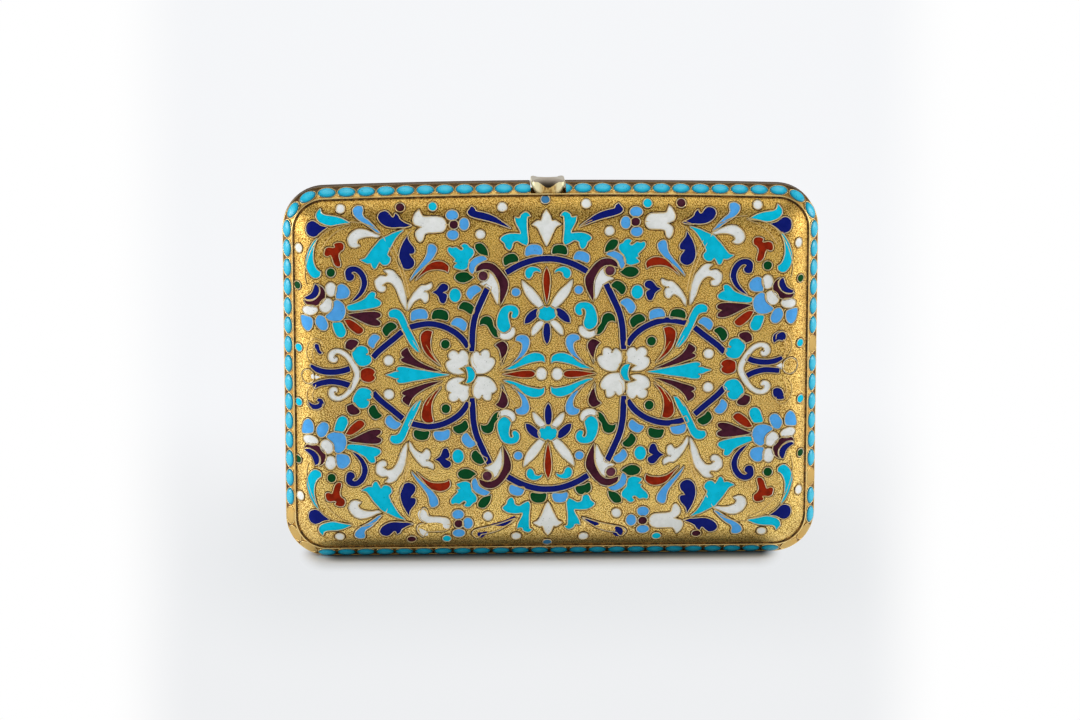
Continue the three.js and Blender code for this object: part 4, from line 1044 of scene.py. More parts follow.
class Finish:
    """A node material whose principled shader is set from plain values and changing levels."""
    sockets = {"colour": "Base Color", "specular": "Specular IOR Level", "sheen": "Sheen Weight"}

    def __init__(self, name):
        self.material = bpy.data.materials.new(name)
        self.material.use_nodes = True
        self.tree = self.material.node_tree
        self.shader = self.tree.nodes["Principled BSDF"]
        self.place = self.node("ShaderNodeTexCoord", {}, {}).outputs["Object"]

    def node(self, kind, settings, values):
        """A new node, with its settings made before its sockets are fed."""
        made = self.tree.nodes.new(kind)
        for key, value in settings.items():
            setattr(made, key, value)
        for key, value in values.items():
            self.feed(made.inputs[key], value)
        return made

    def feed(self, socket, value):
        """Gives a socket a plain value, or links it to what changes over the surface."""
        if isinstance(value, Level):
            value = value.socket
        if isinstance(value, bpy.types.NodeSocket):
            self.tree.links.new(value, socket)
        elif isinstance(value, tuple) and len(value) == 3 and len(socket.default_value) == 4:
            socket.default_value = (*value, 1.0)
        else:
            socket.default_value = value

    def level(self, kind, settings, values, output=0):
        """What a new node gives out, as a level."""
        return Level(self, self.node(kind, settings, values).outputs[output])

    def maths(self, operation, *terms):
        """What a new Math node makes of its terms."""
        return self.level("ShaderNodeMath", {"operation": operation}, dict(enumerate(terms)))

    def scaled(self, stretch=(1.0, 1.0, 1.0)):
        """Places on the object in millimetres, drawn out along an axis whose stretch is small."""
        return self.node("ShaderNodeMapping", {"vector_type": "POINT"}, {
            "Vector": self.place, "Scale": tuple(share / MM for share in stretch)}).outputs[0]

    def grain(self, size, detail=3.0, roughness=0.55, stretch=(1.0, 1.0, 1.0)):
        """Cloudy noise whose features are about so many millimetres across."""
        return self.level("ShaderNodeTexNoise", {"noise_dimensions": "3D"}, {
            "Vector": self.scaled(stretch), "Scale": 1.0 / size, "Detail": detail, "Roughness": roughness})

    def pits(self, size):
        """Distance to the middle of punched dots about so many millimetres apart."""
        return self.level("ShaderNodeTexVoronoi", {"feature": "F1"}, {
            "Vector": self.scaled(), "Scale": 1.0 / size})

    def along(self, axis):
        """Distance along one axis from the origin, in millimetres."""
        return self.level("ShaderNodeSeparateXYZ", {}, {"Vector": self.place}, axis) * (1.0 / MM)

    def kept(self, name):
        """A number that the mesh keeps for each of its points."""
        return self.level("ShaderNodeAttribute", {"attribute_name": name, "attribute_type": "GEOMETRY"}, {}, 2)

    def blend(self, share, first, second, mode="MIX"):
        """One colour passing into another by a share from 0 to 1; a word names one of the user's colours."""
        tones = {6: first, 7: second}
        for key, tone in tones.items():
            if isinstance(tone, str):
                tones[key] = tuple(getattr(bpy.context.scene.case_colours, tone))
        return self.node("ShaderNodeMix", {"data_type": "RGBA", "blend_type": mode}, {0: share, **tones}).outputs[2]

    def layers(self, colour, *coats):
        """A colour with others laid over it, each by its own share."""
        for share, tone in coats:
            colour = self.blend(share, colour, tone)
        return colour

    def mixed(self, share, first, second):
        """One shader passing into another."""
        return self.node("ShaderNodeMixShader", {}, {0: share, 1: first, 2: second}).outputs[0]

    def bump(self, height, distance, strength=1.0):
        """A surface that is raised by so many millimetres where the height is 1."""
        return self.node("ShaderNodeBump", {}, {
            "Height": height, "Distance": distance * MM, "Strength": strength}).outputs[0]

    def finish(self, **values):
        """Sets the shader, and hands over the finished material."""
        for key, value in values.items():
            self.feed(self.shader.inputs[self.sockets.get(key, key.capitalize())], value)
        return self.material


class Sky(Finish):
    """The light that comes from all round."""

    def __init__(self, world):
        world.use_nodes = True
        self.tree = world.node_tree
        self.shader = self.tree.nodes["Background"]
        self.place = self.node("ShaderNodeTexCoord", {}, {}).outputs["Generated"]


def matted_gilt():
    """Gilt ground matted with a fine punch: stippled, patched brown, and darker towards the top as painted shade."""
    f = Finish("matted_gilt")
    cloud = f.grain(9.0, 2.0)
    patch = f.grain(2.2, 3.0)
    speck = f.grain(0.2, 2.0, 0.7)
    colour = f.layers("matt_gold", (cloud.above(0.5, 0.16), "worn_gold"),
                      (patch.above(0.58, 0.12) * 0.35, "brown_gold"), (speck.above(0.53, 0.05) * 0.85, "dark_gold"),
                      (speck.above(0.46, 0.05) * -0.85 + 0.85, "bright_gold"))
    # Painted shade: the ground is multiplied darker and browner from the bottom up towards the top edge
    colour = f.blend(f.along(2).above(40.0, 36.0), colour, (0.92, 0.84, 0.65), "MULTIPLY")
    rough = 0.46 - speck.above(0.5, 0.2) * 0.12 + patch * 0.08
    height = f.pits(0.28).above(0.35, 0.25) * 0.6 + speck * 0.7
    return f.finish(colour=colour, roughness=rough, metallic=1.0, normal=f.bump(height, 0.03, 0.75))


def plain_gilt(name, tone="plain_gold", rough=0.24):
    """Smooth gilt sheet with fine rubbing marks and a little tarnish."""
    f = Finish(name)
    cloud = f.grain(6.0, 4.0)
    rub = f.grain(1.6, 3.0, 0.6, (0.25, 1.0, 1.0))
    fine = f.grain(0.18, 2.0, 0.7, (0.3, 1.0, 1.0))
    colour = f.layers(tone, (cloud.above(0.58, 0.14) * 0.5, "worn_gold"),
                      (rub.above(0.66, 0.08) * 0.35, "brown_gold"))
    roughness = rough + cloud * 0.12 + fine.above(0.62, 0.1) * 0.08
    return f.finish(colour=colour, roughness=roughness, metallic=1.0, normal=f.bump(fine + rub * 0.5, 0.006, 0.5))


def rim_gilt(name="rim_gilt"):
    """Rims at the parting line: bright at the sides, darkened brown along the top by painted shade."""
    f = Finish(name)
    speck = f.grain(0.5, 2.0)
    # Painted shade: the top rims are darkened brown where less light falls on them, with a ragged lower edge and dark
    # specks
    shaded_top = (f.along(2) + f.grain(5.0, 3.0) * 6.0).above(74.0, 4.0)
    colour = f.layers("plain_gold", (shaded_top * 0.95, "painted_rim_shade"), (speck.above(0.6, 0.1) * shaded_top, "dark_gold"))
    return f.finish(colour=colour, roughness=0.32 + speck * 0.12, metallic=1.0, normal=f.bump(speck, 0.008, 0.5))


def cell_wire():
    """Flattened gilt wire, rubbed through to silver on top."""
    f = Finish("cell_wire")
    speck = f.grain(0.3, 2.0)
    colour = f.layers("wire_silver", (f.grain(1.1, 3.0).above(0.46, 0.12), "wire_gold"),
                      (speck.above(0.66, 0.08) * 0.5, "dark_gold"))
    return f.finish(colour=colour, roughness=0.3 + speck * 0.14, metallic=0.55, normal=f.bump(speck, 0.012, 0.5))


def dark_seam(name="dark_seam"):
    """Painted shade where a wire meets the ground: a dark line mottled with brown gold."""
    f = Finish(name)
    cloud = f.grain(0.8, 3.0)
    colour = f.blend(cloud.above(0.55, 0.15), "seam", "brown_gold")
    return f.finish(colour=colour, roughness=0.55 + cloud * 0.15, metallic=0.6)


def enamel(kind):
    """Fired enamel: glassy, faintly clouded, with a few pinholes."""
    f = Finish("enamel_" + kind)
    base = linear(*ENAMEL[kind])
    cloud = f.grain(1.4, 3.0)
    pin = f.grain(0.28, 1.0)
    deeper = tuple(v * 0.62 for v in base)
    paler = tuple(min(1.0, v * 1.15 + 0.003) for v in base)
    colour = f.blend(cloud.above(0.5, 0.22), deeper if kind in (RUST, MAROON, PLUM) else base, paler)
    if kind in (RUST, MAROON):
        colour = f.blend(cloud.above(0.56, 0.1) * 0.7, colour, base)
    colour = f.blend(pin.above(0.74, 0.03) * 0.8, colour, tuple(v * 0.3 for v in base))
    return f.finish(colour=colour, roughness=0.16 + cloud * 0.14, metallic=0.0, specular=0.05,
                    normal=f.bump(cloud * 0.6 + pin * 0.4, 0.02, 0.4))


def bead_enamel():
    """Turquoise bead enamel: teal at the foot as painted shade, paler over the dome as a painted highlight."""
    f = Finish("bead_enamel")
    cloud = f.grain(1.2, 3.0)
    pin = f.grain(0.3, 1.0)
    height = f.kept("dome") + cloud * 0.3
    # Painted shade and highlight: dark teal at the bead's edge, paler over its dome
    colour = f.layers("bead_foot", (height.above(0.62, 0.3), "bead_body"),
                      (height.above(1.02, 0.2) * 0.8, "bead_highlight"), (pin.above(0.72, 0.03) * 0.8, "bead_foot"))
    return f.finish(colour=colour, roughness=0.14 + cloud * 0.12, metallic=0.0, specular=0.4,
                    normal=f.bump(cloud * 0.6 + pin * 0.4, 0.02, 0.4))


def border_strip():
    """Gilt bed of the bead border: dark in the notches by the rim, brown gold by the panel, painted shade on top."""
    f = Finish("border_strip")
    across = f.kept("across")
    speck = f.grain(0.3, 2.0)
    blot = f.grain(1.3, 2.0)
    outer = f.blend(blot.above(0.5, 0.12) * 0.5, "crevice_red", "brown_gold")
    # Painted shade: the rim side of the strip darkens along the top edge
    outer = f.blend(f.along(2).above(74.0, 1.5) * 0.85, outer, "painted_rim_shade")
    inner = f.blend(blot.above(0.46, 0.1) * 0.7, "plain_gold", "brown_gold")
    return f.finish(colour=f.blend(across.above(0.45, 0.1), outer, inner), roughness=0.5 - across * 0.15 + speck * 0.1,
                    metallic=across.above(0.3, 0.2) * 0.6 + 0.4, normal=f.bump(speck, 0.03, 0.6))


def thumb_metal():
    """Polished gilt lobes of the thumb piece, pale with a painted highlight, streaked up and down between them,
    less pale lower down and grey silver on the very top.
    """
    f = Finish("thumb_metal")
    streak = f.grain(0.35, 2.0, 0.6, (1.0, 1.0, 0.22))
    height = f.along(2)
    aside = f.along(0) - THUMB_X
    # Painted highlight: the lobes are pale, the middle between them plain gold
    centre = (aside * aside).above(2.2, 1.7) * -1.0 + 1.0
    colour = f.layers("lobe_highlight", (centre, "plain_gold"), (streak.above(0.54, 0.06) * centre * 0.9, "brown_gold"),
                      (height.above(75.2, 0.8) * -0.5 + 0.5, "plain_gold"),
                      (height.above(77.3, 0.12) * 0.8, "grey_silver"))
    return f.finish(colour=colour, roughness=0.26 + f.grain(1.6, 3.0) * 0.12, metallic=0.4,
                    normal=f.bump(streak, 0.012, 0.6))


def thumb_hollow(top):
    """Hollow of the thumb piece: a painted reflection of grey silver at the top, painted shade dark at its foot."""
    f = Finish("thumb_hollow")
    height = f.along(2)
    cloud = f.grain(1.2, 3.0)
    # Painted reflection: the upper part of the hollow turns grey silver
    colour = f.blend((height + cloud * 0.4).above(top - 0.3, 0.6), "hollow_grey", "grey_silver")
    # Painted shade: the foot of the hollow turns dark
    colour = f.blend((height + cloud * 0.3).above(top - 0.6, 0.8), "hollow_shade", colour)
    return f.finish(colour=colour, roughness=0.55 + cloud * 0.15, metallic=0.4, specular=0.2,
                    normal=f.bump(cloud, 0.01, 0.4))


def spring_metal():
    """Drawn steel, stained here and there."""
    f = Finish("spring_steel")
    draw = f.grain(0.12, 2.0, 0.6, (0.15, 1.0, 1.0))
    colour = f.blend(f.grain(1.5, 3.0).above(0.55, 0.15) * 0.5, "steel", "steel_dark")
    return f.finish(colour=colour, roughness=0.3 + draw * 0.15, metallic=1.0, normal=f.bump(draw, 0.004, 0.5))


def elastic_weave():
    """Silk-covered elastic: fine ribs across, threads along, a little fluff."""
    f = Finish("elastic_weave")
    rib = f.maths("SINE", f.along(0) * (2 * math.pi / 0.62))
    thread = f.maths("SINE", f.along(2) * (2 * math.pi / 0.4))
    fluff = f.grain(0.25, 3.0, 0.7)
    weave = rib * 0.35 + thread * 0.2 + 0.5
    colour = f.layers("silk_dark", (weave, "silk"), (f.grain(5.0, 2.0).above(0.56, 0.15) * 0.4, "silk_worn"))
    return f.finish(colour=colour, roughness=0.82 + fluff * 0.12, metallic=0.0, sheen=0.25,
                    normal=f.bump(weave + fluff * 0.4, 0.07, 0.8))


def floor_finish():
    """Pale paper that keeps the real shadow near the case, with a painted contact shadow along the line it stands on,
    then glows with painted shade that lightens away from the case and behind it, white at the sides and brighter
    in the metal's reflections near the case; it is clear over the lid once that hangs below the edge it stands on."""
    f = Finish("pale_paper")
    across, behind = f.along(0), f.along(1)

    def from_foot(middle, growth):
        """Distance from the line the case stands on, counted faster past its ends."""
        past = f.maths("MAXIMUM", f.maths("ABSOLUTE", across - middle) - FOOT_HALF, 0.0) * growth
        return f.maths("SQRT", past * past + behind * behind)

    colour = f.blend(f.grain(90.0, 2.0), (0.80, 0.82, 0.84), (0.83, 0.85, 0.87))
    # Painted contact shadow: dark paint along the line the case stands on, over the real shadow
    colour = f.blend(from_foot(0.0, 2.0).above(6.0, 3.5), (0.14, 0.15, 0.15), colour)
    material = f.finish(colour=colour, roughness=0.9, metallic=0.0, specular=0.1)
    reach = from_foot(-2.0, 2.5)
    path = f.node("ShaderNodeLightPath", {}, {})
    camera, glossy = (Level(f, path.outputs[name]) for name in ("Is Camera Ray", "Is Glossy Ray"))
    # Painted shade in the glow: darker near the case, lighter further off and behind it
    pale = f.layers((0.80, 0.815, 0.83), (reach.above(60.0, 40.0), (0.86, 0.87, 0.885)),
                    (behind.above(95.0, 60.0), (0.915, 0.925, 0.945)))
    # Painted light: the glow turns white towards the sides of the view
    aside = f.maths("ABSOLUTE", across - behind * 0.04 + 4.5)
    pale = f.blend(f.maths("DIVIDE", aside, behind + 800.0).above(0.0965, 0.012), pale, (1.0, 1.0, 1.0))
    # Painted reflection: rays reflected off the metal see the floor near the case 1.4 times brighter
    even, bright = (f.node("ShaderNodeEmission", {}, {"Color": pale, "Strength": strength}).outputs[0]
                    for strength in (1.0, 1.4))
    glow = f.mixed(glossy * (1.0 - reach.above(70.0, 30.0)), even, bright)
    floor = f.mixed(reach.above(11.5, 5.5) * (camera + glossy), f.shader.outputs[0], glow)
    free = f.level("ShaderNodeAmbientOcclusion", {"inside": True, "samples": 32}, {"Distance": 100.0 * MM}, "AO")
    clear = f.node("ShaderNodeBsdfTransparent", {}, {}).outputs[0]
    output = next(node for node in f.tree.nodes if node.type == "OUTPUT_MATERIAL")
    f.feed(output.inputs["Surface"], f.mixed(free.above(0.975, 0.02), clear, floor))
    return material


# The user's sizes and colours

def shade(name, what, red, green, blue):
    return FloatVectorProperty(name=name, description=what, subtype="COLOR", size=3, min=0.0, max=1.0,
                               default=linear(red, green, blue))


class CaseColours(bpy.types.PropertyGroup):
    """Colours of the gilding, the beads, the steel and the silk"""
    matt_gold: shade("Matted gold", "Stippled ground of the panels", 234, 192, 94)
    worn_gold: shade("Worn gold", "Ground where the gilding is thinner", 218, 170, 82)
    bright_gold: shade("Bright gold", "High points of the stippling", 255, 232, 156)
    brown_gold: shade("Brown gold", "Toned patches", 160, 112, 42)
    # Painted shade on the top rims and on the rim side of the bead strip along the top
    painted_rim_shade: shade("Rim brown", "Toned top rims", 98, 74, 44)
    dark_gold: shade("Dark gold", "Bottoms of the punch marks", 82, 52, 0)
    bed_gold: shade("Bed gold", "Bead beds whose enamel is lost", 200, 170, 104)
    plain_gold: shade("Plain gold", "Rims and inside", 226, 190, 110)
    # Painted highlight on the lobes of the thumb piece
    lobe_highlight: shade("Pale gold", "Lobes of the thumb piece", 255, 244, 196)
    grey_silver: shade("Grey silver", "Top of the thumb piece", 200, 188, 172)
    hollow_grey: shade("Hollow grey", "Hollow of the thumb piece", 124, 110, 88)
    # Painted shade at the foot of the thumb piece's hollow
    hollow_shade: shade("Hollow dark", "Foot of the thumb piece's hollow", 40, 30, 18)
    wire_gold: shade("Wire gold", "Cell wires", 226, 198, 134)
    wire_silver: shade("Wire silver", "Cell wires where worn", 216, 206, 178)
    # Painted shade beside the cell wires and in the groove by the border
    seam: shade("Seam", "Dark line beside the wires", 62, 40, 12)
    crevice_red: shade("Crevice", "Dark notches by the rim", 84, 40, 20)
    # Painted shade at the beads' edges, also the colour of their pinholes
    bead_foot: shade("Bead foot", "Edges of the beads", 0, 104, 124)
    bead_body: shade("Bead", "Beads of the border", 10, 186, 222)
    # Painted highlight over the middle of the beads
    bead_highlight: shade("Bead top", "Middle of the beads", 74, 214, 242)
    steel: shade("Steel", "Leaf spring", 176, 178, 182)
    steel_dark: shade("Dark steel", "Stains on the spring", 120, 122, 128)
    silk: shade("Silk", "Elastic straps", 196, 158, 84)
    silk_dark: shade("Silk in shadow", "Between the ribs", 128, 94, 42)
    silk_worn: shade("Worn silk", "Faded parts of the straps", 170, 140, 90)


def length(name, what, value):
    return FloatProperty(name=name, description=what, default=value * MM, min=0.0, subtype="DISTANCE",
                         unit="LENGTH")


class CaseSizes(bpy.types.PropertyGroup):
    """Sizes of the wires, the enamel and the beads"""
    wire_radius: length("Wire radius", "Half the thickness of the cell wires", 0.12)
    enamel_foot: length("Enamel edge", "Height of the enamel where it meets its wire", 0.04)
    enamel_dome: length("Enamel dome", "How much the enamel rises to the middle of a cell", 0.11)
    bead_length: length("Bead length", "Length of a bead of the border", 3.72)
    bead_width: length("Bead width", "Width of a bead of the border", 2.5)
    bead_rise: length("Bead rise", "Height of a bead over the strip", 0.45)
    bead_pitch: length("Bead pitch", "Distance between beads", 3.954)



def size_of(name):
    """One of the user's sizes, in millimetres."""
    return getattr(bpy.context.scene.case_sizes, name) / MM


# One operator for each piece or group of like pieces

def seat_at(drop):
    """Inner end of the slanting seat, so far below the border's face."""
    return (BAND_INSET - SLOPE_OUT[0] * drop, RIM_DEPTH + BAND_DEPTH - SLOPE_OUT[1] * drop)


def sheet_profile():
    """Section of one half as (inset, depth): inside, rim, seat of the border, and the rolled panel outside."""
    seat, wall = seat_at(SEAT_DROP), seat_at(SEAT_DROP + SEAT_WALL)
    seat_rim = (0.0, seat[1] - seat[0] * BAND_DEPTH / BAND_INSET)
    wall_rim = (RIM_WALL, wall[1] - (wall[0] - RIM_WALL) * BAND_DEPTH / BAND_INSET)
    bent, eased = 0.12, 0.04
    profile = []
    inner, ground = ROLL - SHEET, ROLL - GROUND_DROP
    last = min(ROLL_ANGLE, math.asin((FLAT_INSET - wall[0]) / inner))
    for turn in stations(0.0, last, 10):
        profile.append((FLAT_INSET - inner * math.sin(turn), ROLL_CENTRE + inner * math.cos(turn)))
    profile += [wall, wall_rim, (RIM_WALL, bent), (RIM_WALL - bent, 0.0), (0.15, 0.0), (eased, eased),
                (0.0, 0.15), seat_rim, seat]
    steep = math.asin(min(1.0, (FLAT_INSET - BAND_INSET) / ground))
    for turn in stations(steep, 0.0, 16):
        profile.append((FLAT_INSET - ground * math.sin(turn), ROLL_CENTRE + ground * math.cos(turn)))
    return profile


class BuildShells(bpy.types.Operator):
    """Front and back halves of gilt sheet, with the matted panel outside"""
    bl_idname = "case.shells"
    bl_label = "Shells"

    def execute(self, context):
        matted, inside, rim = matted_gilt(), plain_gilt("inside_gilt", rough=0.2), rim_gilt()
        rim_reach, step_down, facing_out = 0.5, 0.05, 0.3
        for side, body in BODY.items():
            bm = bmesh.new()
            loft(bm, swept_ring(sheet_profile(), side))
            bm = cut_away(bm, [notch_block(), block(*HINGE_SLOT), block(*HINGE_SWING)])
            piece = new_piece(body + "_sheet", bm, body, matted, [body + "_shell"], 28)
            for extra in (inside, rim):
                piece.data.materials.append(extra)
            for face in piece.data.polygons:
                centre = face.center / MM
                inset = inset_at(centre.x, centre.z)
                panel = inset > BAND_INSET - 0.1 and abs(centre.y) > panel_depth(inset, GROUND_DROP + SHEET / 2)
                edge = inset < rim_reach and abs(centre.y) > step_down or face.normal.y * side > facing_out
                face.material_index = 0 if panel else 2 if edge else 1
        return {"FINISHED"}


def bead_places():
    """Place and way of each bead, in one row from the left of the thumb piece round to its right."""
    ring = [Vector(point) for point in outline(BEAD_INSET)]
    start = max(range(len(ring)), key=lambda i: (ring[i].y > NEAR_TOP, -abs(ring[i].x - THUMB_X)))
    ring = ring[start:] + ring[:start]
    lengths = [(b - a).length for a, b in zip(ring, ring[1:] + ring[:1])]
    run = sum(lengths) - FIRST_BEAD - LAST_BEAD
    count = round(run / size_of("bead_pitch"))
    first = FIRST_BEAD - THUMB_X + ring[0].x
    places = []
    for travel in stations(first, first + run, count):
        i = 0
        while travel > lengths[i]:
            travel -= lengths[i]
            i += 1
        start, end = ring[i], ring[(i + 1) % len(ring)]
        places.append((start.lerp(end, travel / lengths[i]), (end - start).normalized()))
    return places


def bead_frame(side, place, way):
    """Matrix that sets a bead's length, width and height on the slanting border."""
    outward = Vector((way.y, -way.x))
    if outward.dot(place - Vector((0, HEIGHT / 2))) < 0:
        outward = -outward
    tangent = Vector((way.x, 0, way.y))
    normal = Vector((outward.x * ALONG[1], side * ALONG[0], outward.y * ALONG[1]))
    matrix = Matrix((tangent, normal.cross(tangent), normal)).transposed().to_4x4()
    matrix.translation = Vector((place.x, side * (RIM_DEPTH + BAND_DEPTH * BEAD_INSET / BAND_INSET), place.y))
    return matrix


def in_notch(point, more=0.0):
    """Whether a point of the border lies in the notch for the thumb piece."""
    return abs(point[0] - THUMB_X) < NOTCH_HALF + more and point[-1] > NEAR_TOP


def bead(matrix, place, size):
    """One bead: a flattened dome that keeps its height for the painted shade and highlight of its finish, cut off
    where it meets the notch.
    """
    bm = bmesh.new()
    bmesh.ops.create_uvsphere(bm, u_segments=14, v_segments=8, radius=1.0)
    sliced(bm, (0, 0, 0.02), (0, 0, 1), clear=True)
    dome = bm.verts.layers.float.new("dome")
    for vert in bm.verts:
        vert[dome] = max(0.0, vert.co.z)
        vert.co.z = max(0.0, vert.co.z) ** 0.75
    bmesh.ops.scale(bm, vec=size, verts=bm.verts)
    bmesh.ops.transform(bm, matrix=matrix, verts=bm.verts)
    if in_notch(place, size_of("bead_length") / 2):
        hand = math.copysign(1, place.x - THUMB_X)
        sliced(bm, (THUMB_X + hand * NOTCH_HALF, 0, 0), (hand, 0, 0), clear=True)
        bmesh.ops.holes_fill(bm, edges=bm.edges, sides=40)
    return bm


class BuildBorders(bpy.types.Operator):
    """Border of oval enamel beads in wire, with its strip and edge wires"""
    bl_idname = "case.borders"
    bl_label = "Bead borders"

    def execute(self, context):
        finishes = {
            "strip": border_strip(), "beads": bead_enamel(), "wire": plain_gilt("border_wire", "wire_gold", 0.2),
            "worn": plain_gilt("bare_bead_bed", "bed_gold", 0.6), "rim": rim_gilt("rim_wire_gilt"),
            "groove": dark_seam("groove_seam")}
        for side, body in BODY.items():
            self.strip(side, body, finishes["strip"])
            self.beads(side, body, finishes)
            self.edge_wires(side, body, finishes)
        return {"FINISHED"}

    def strip(self, side, body, finish):
        """The bed of the beads, which keeps for its finish how far each point lies from the rim."""
        back = seat_at(BAND_THICK)
        profile = [(BAND_INSET * share, RIM_DEPTH + BAND_DEPTH * share) for share in (0.0, 0.3, 0.5, 0.7, 1.0)]
        profile += [back, (back[0] - BAND_INSET, back[1] - BAND_DEPTH)]
        bm = bmesh.new()
        loft(bm, swept_ring(profile, side), closed=True)
        bm = cut_away(bm, [notch_block(), block(*HINGE_SLOT)])
        strip = new_piece(body + "_bead_strip", bm, body, finish, [body + "_bead_band"], 30)
        across = strip.data.attributes.new("across", "FLOAT", "POINT")
        for vert in strip.data.vertices:
            share = (abs(vert.co.y) / MM - RIM_DEPTH) / BAND_DEPTH
            across.data[vert.index].value = min(1.0, max(0.0, share))

    def beads(self, side, body, finishes):
        """Beads whole and worn, and the wire round each."""
        half_length, half_width = size_of("bead_length") / 2, size_of("bead_width") / 2
        whole_rise, worn_rise, lost_within = 0.98, 0.45, 2.0
        whole, worn, rings = bmesh.new(), bmesh.new(), []
        for place, way in bead_places():
            matrix = bead_frame(side, place, way)
            broken = side == LID and any((place - Vector(spot)).length < lost_within for spot in LOST_BEADS)
            rise = size_of("bead_rise") * (worn_rise if broken else whole_rise)
            size = (half_length - 0.04, half_width - 0.02, rise)
            joined(worn if broken else whole, bead(matrix, place, size))
            ring = [matrix @ Vector((u, v, 0.04)) for u, v in oval((0, 0), (half_length + 0.02, half_width), steps=18)]
            rings.append([point for point in ring if not in_notch(point, 0.1)])
        new_piece(body + "_beads", whole, body, finishes["beads"], [], 60)
        if worn.verts:
            new_piece(body + "_worn_beads", worn, body, finishes["worn"], [], 60)
        else:
            worn.free()
        wire_piece(body + "_bead_wires", rings, 0.1, body, finishes["wire"])

    def edge_wires(self, side, body, finishes):
        """Wires on both edges of the border, and painted shade in the groove between it and the panel."""
        def ring(inset, depth):
            return [(x, side * depth, z) for x, z in outline(inset)]

        rim = ring(0.12, RIM_DEPTH + 0.12)
        start = next(i for i, point in enumerate(rim) if point[0] < THUMB_X - NOTCH_HALF and point[2] > NEAR_TOP)
        run = [point for point in rim[start:] + rim[:start] if not in_notch(point)]
        wire_piece(body + "_rim_wire", [run], 0.11, body, finishes["rim"], 1, closed=False)
        frame_ring = ring(BAND_INSET - 0.12, RIM_DEPTH + BAND_DEPTH)
        wire_piece(body + "_frame_wire", [frame_ring], 0.17, body, finishes["wire"], 1, [body + "_panel_wire"])
        # Painted shade: a mostly sunk dark tube laid in the groove at the foot of the panel
        inset = BAND_INSET + 0.24
        groove = ring(inset, panel_depth(inset, GROUND_DROP) - 0.02)
        wire_piece(body + "_groove", [groove], 0.2, body, finishes["groove"], 1)


def laid(side, paths, lift):
    """Paths of the pattern as they lie on one panel."""
    return [[on_panel(side, x, z, lift) for x, z in path] for path in paths]


class BuildOrnament(bpy.types.Operator):
    """Wires and enamel of both panels, one piece for each colour"""
    bl_idname = "case.ornament"
    bl_label = "Ornament"

    def execute(self, context):
        cells = ornament()
        wire, seam, stem = cell_wire(), dark_seam(), plain_gilt("stem_wire", "wire_gold", 0.35)
        finishes = {kind: enamel(kind) for kind in ENAMEL}
        radius = size_of("wire_radius")
        shade_drop, shade_out, shade_radius, stem_shade_radius = -0.15, 0.15, 0.27, 0.25
        walls = [path for name, colour, path, filled in cells if not name.startswith(UNWIRED)]
        halves = {"left": [], "right": []}
        for path in walls:
            halves["left" if sum(x for x, z in path) < 0 else "right"].append(path)
        stems = [placed(smooth_path(points, closed=False, steps=5), quarter)
                 for points in STEMS for quarter in FOURFOLD]
        for side, body in BODY.items():
            for kind, finish in finishes.items():
                bm = bmesh.new()
                for name, colour, path, filled in cells:
                    if colour == kind and filled:
                        fill_cell(bm, side, path, size_of("enamel_foot"), size_of("enamel_dome"))
                new_piece(body + "_enamel_" + kind, bm, body, finish, [], 70)
            for half, paths in halves.items():
                wire_piece(body + "_wires_" + half, laid(side, paths, 0.06), radius, body, wire)
                # Painted shade: dark tubes sunk into the ground just outside each wire darken the foot of the wire
                beside = [grown(path, shade_out) for path in paths]
                wire_piece(body + "_seams_" + half, laid(side, beside, shade_drop), shade_radius, body, seam)
            wire_piece(body + "_stem_wires", laid(side, stems, 0.05), radius * 0.9, body, stem, closed=False)
            # The same painted shade along the foot of the stems
            wire_piece(body + "_stem_seams", laid(side, stems, shade_drop), stem_shade_radius, body, seam, closed=False)
        return {"FINISHED"}


class BuildThumb(bpy.types.Operator):
    """Thumb piece with two gilt lobes and a hollow between them"""
    bl_idname = "case.thumb"
    bl_label = "Thumb piece"

    def execute(self, context):
        low, high = corners("thumb_piece")
        deep, top = (high.y - low.y) / 2 - 0.02, high.z - 0.04
        foot_half, flare, flare_end = 2.45, 0.98, 0.62
        levels, around = 16, 96
        eased = {0: 0.2, 1: 0.06, levels - 1: 0.05, levels: 0.2}
        rings = []
        for level, z in enumerate(stations(low.z, top, levels)):
            share = level / levels
            half = foot_half + flare * min(1.0, share / flare_end) ** 0.8
            ease = eased.get(level, 0.0)
            ring = []
            for step in range(around):
                u, v = squarish(2 * math.pi * step / around, (0.4, 0.34))
                x, y = u * (half - ease * 0.5), v * (deep - ease)
                valley = 0.32 * math.exp(-(x / 0.85) ** 2) * min(1.0, abs(y) / 2)
                dome = 0.14 * (x / half) ** 2 * share ** 4
                ring.append((THUMB_X + x, y - math.copysign(valley, y), z - dome))
            rings.append(ring)
        bm = bmesh.new()
        loft(bm, rings)
        apex, hollow_y = top - 2.25, deep + 0.35
        profile = [(radius, apex + rise) for radius, rise in (
            (0.0, 0.0), (0.4, 0.3), (0.85, 0.85), (1.5, 1.45), (2.35, 1.95), (3.3, 2.2), (3.6, 3.2), (0.0, 3.2))]
        bm = cut_away(bm, [turned(profile, "Z", (THUMB_X, side * hollow_y, 0.0), 48) for side in BODY])
        piece = new_piece("thumb_lobes", bm, "thumb", thumb_metal(), ["thumb_piece"], 32)
        piece.data.materials.append(thumb_hollow(top))
        for face in piece.data.polygons:
            x, y, z = face.center / MM
            within = math.hypot(x - THUMB_X, abs(y) - hollow_y) < 3.55 and z > top - 2.4
            inward = face.normal.z > 0.12 and abs(y) < deep - 0.02
            face.material_index = 1 if within and inward else 0
        return {"FINISHED"}


def barrel(bore, radius, ease, low, high):
    """Section of a turned barrel with eased ends."""
    return [(bore, low), (radius - ease, low), (radius, low + ease), (radius, high - ease), (radius - ease, high),
            (bore, high)]


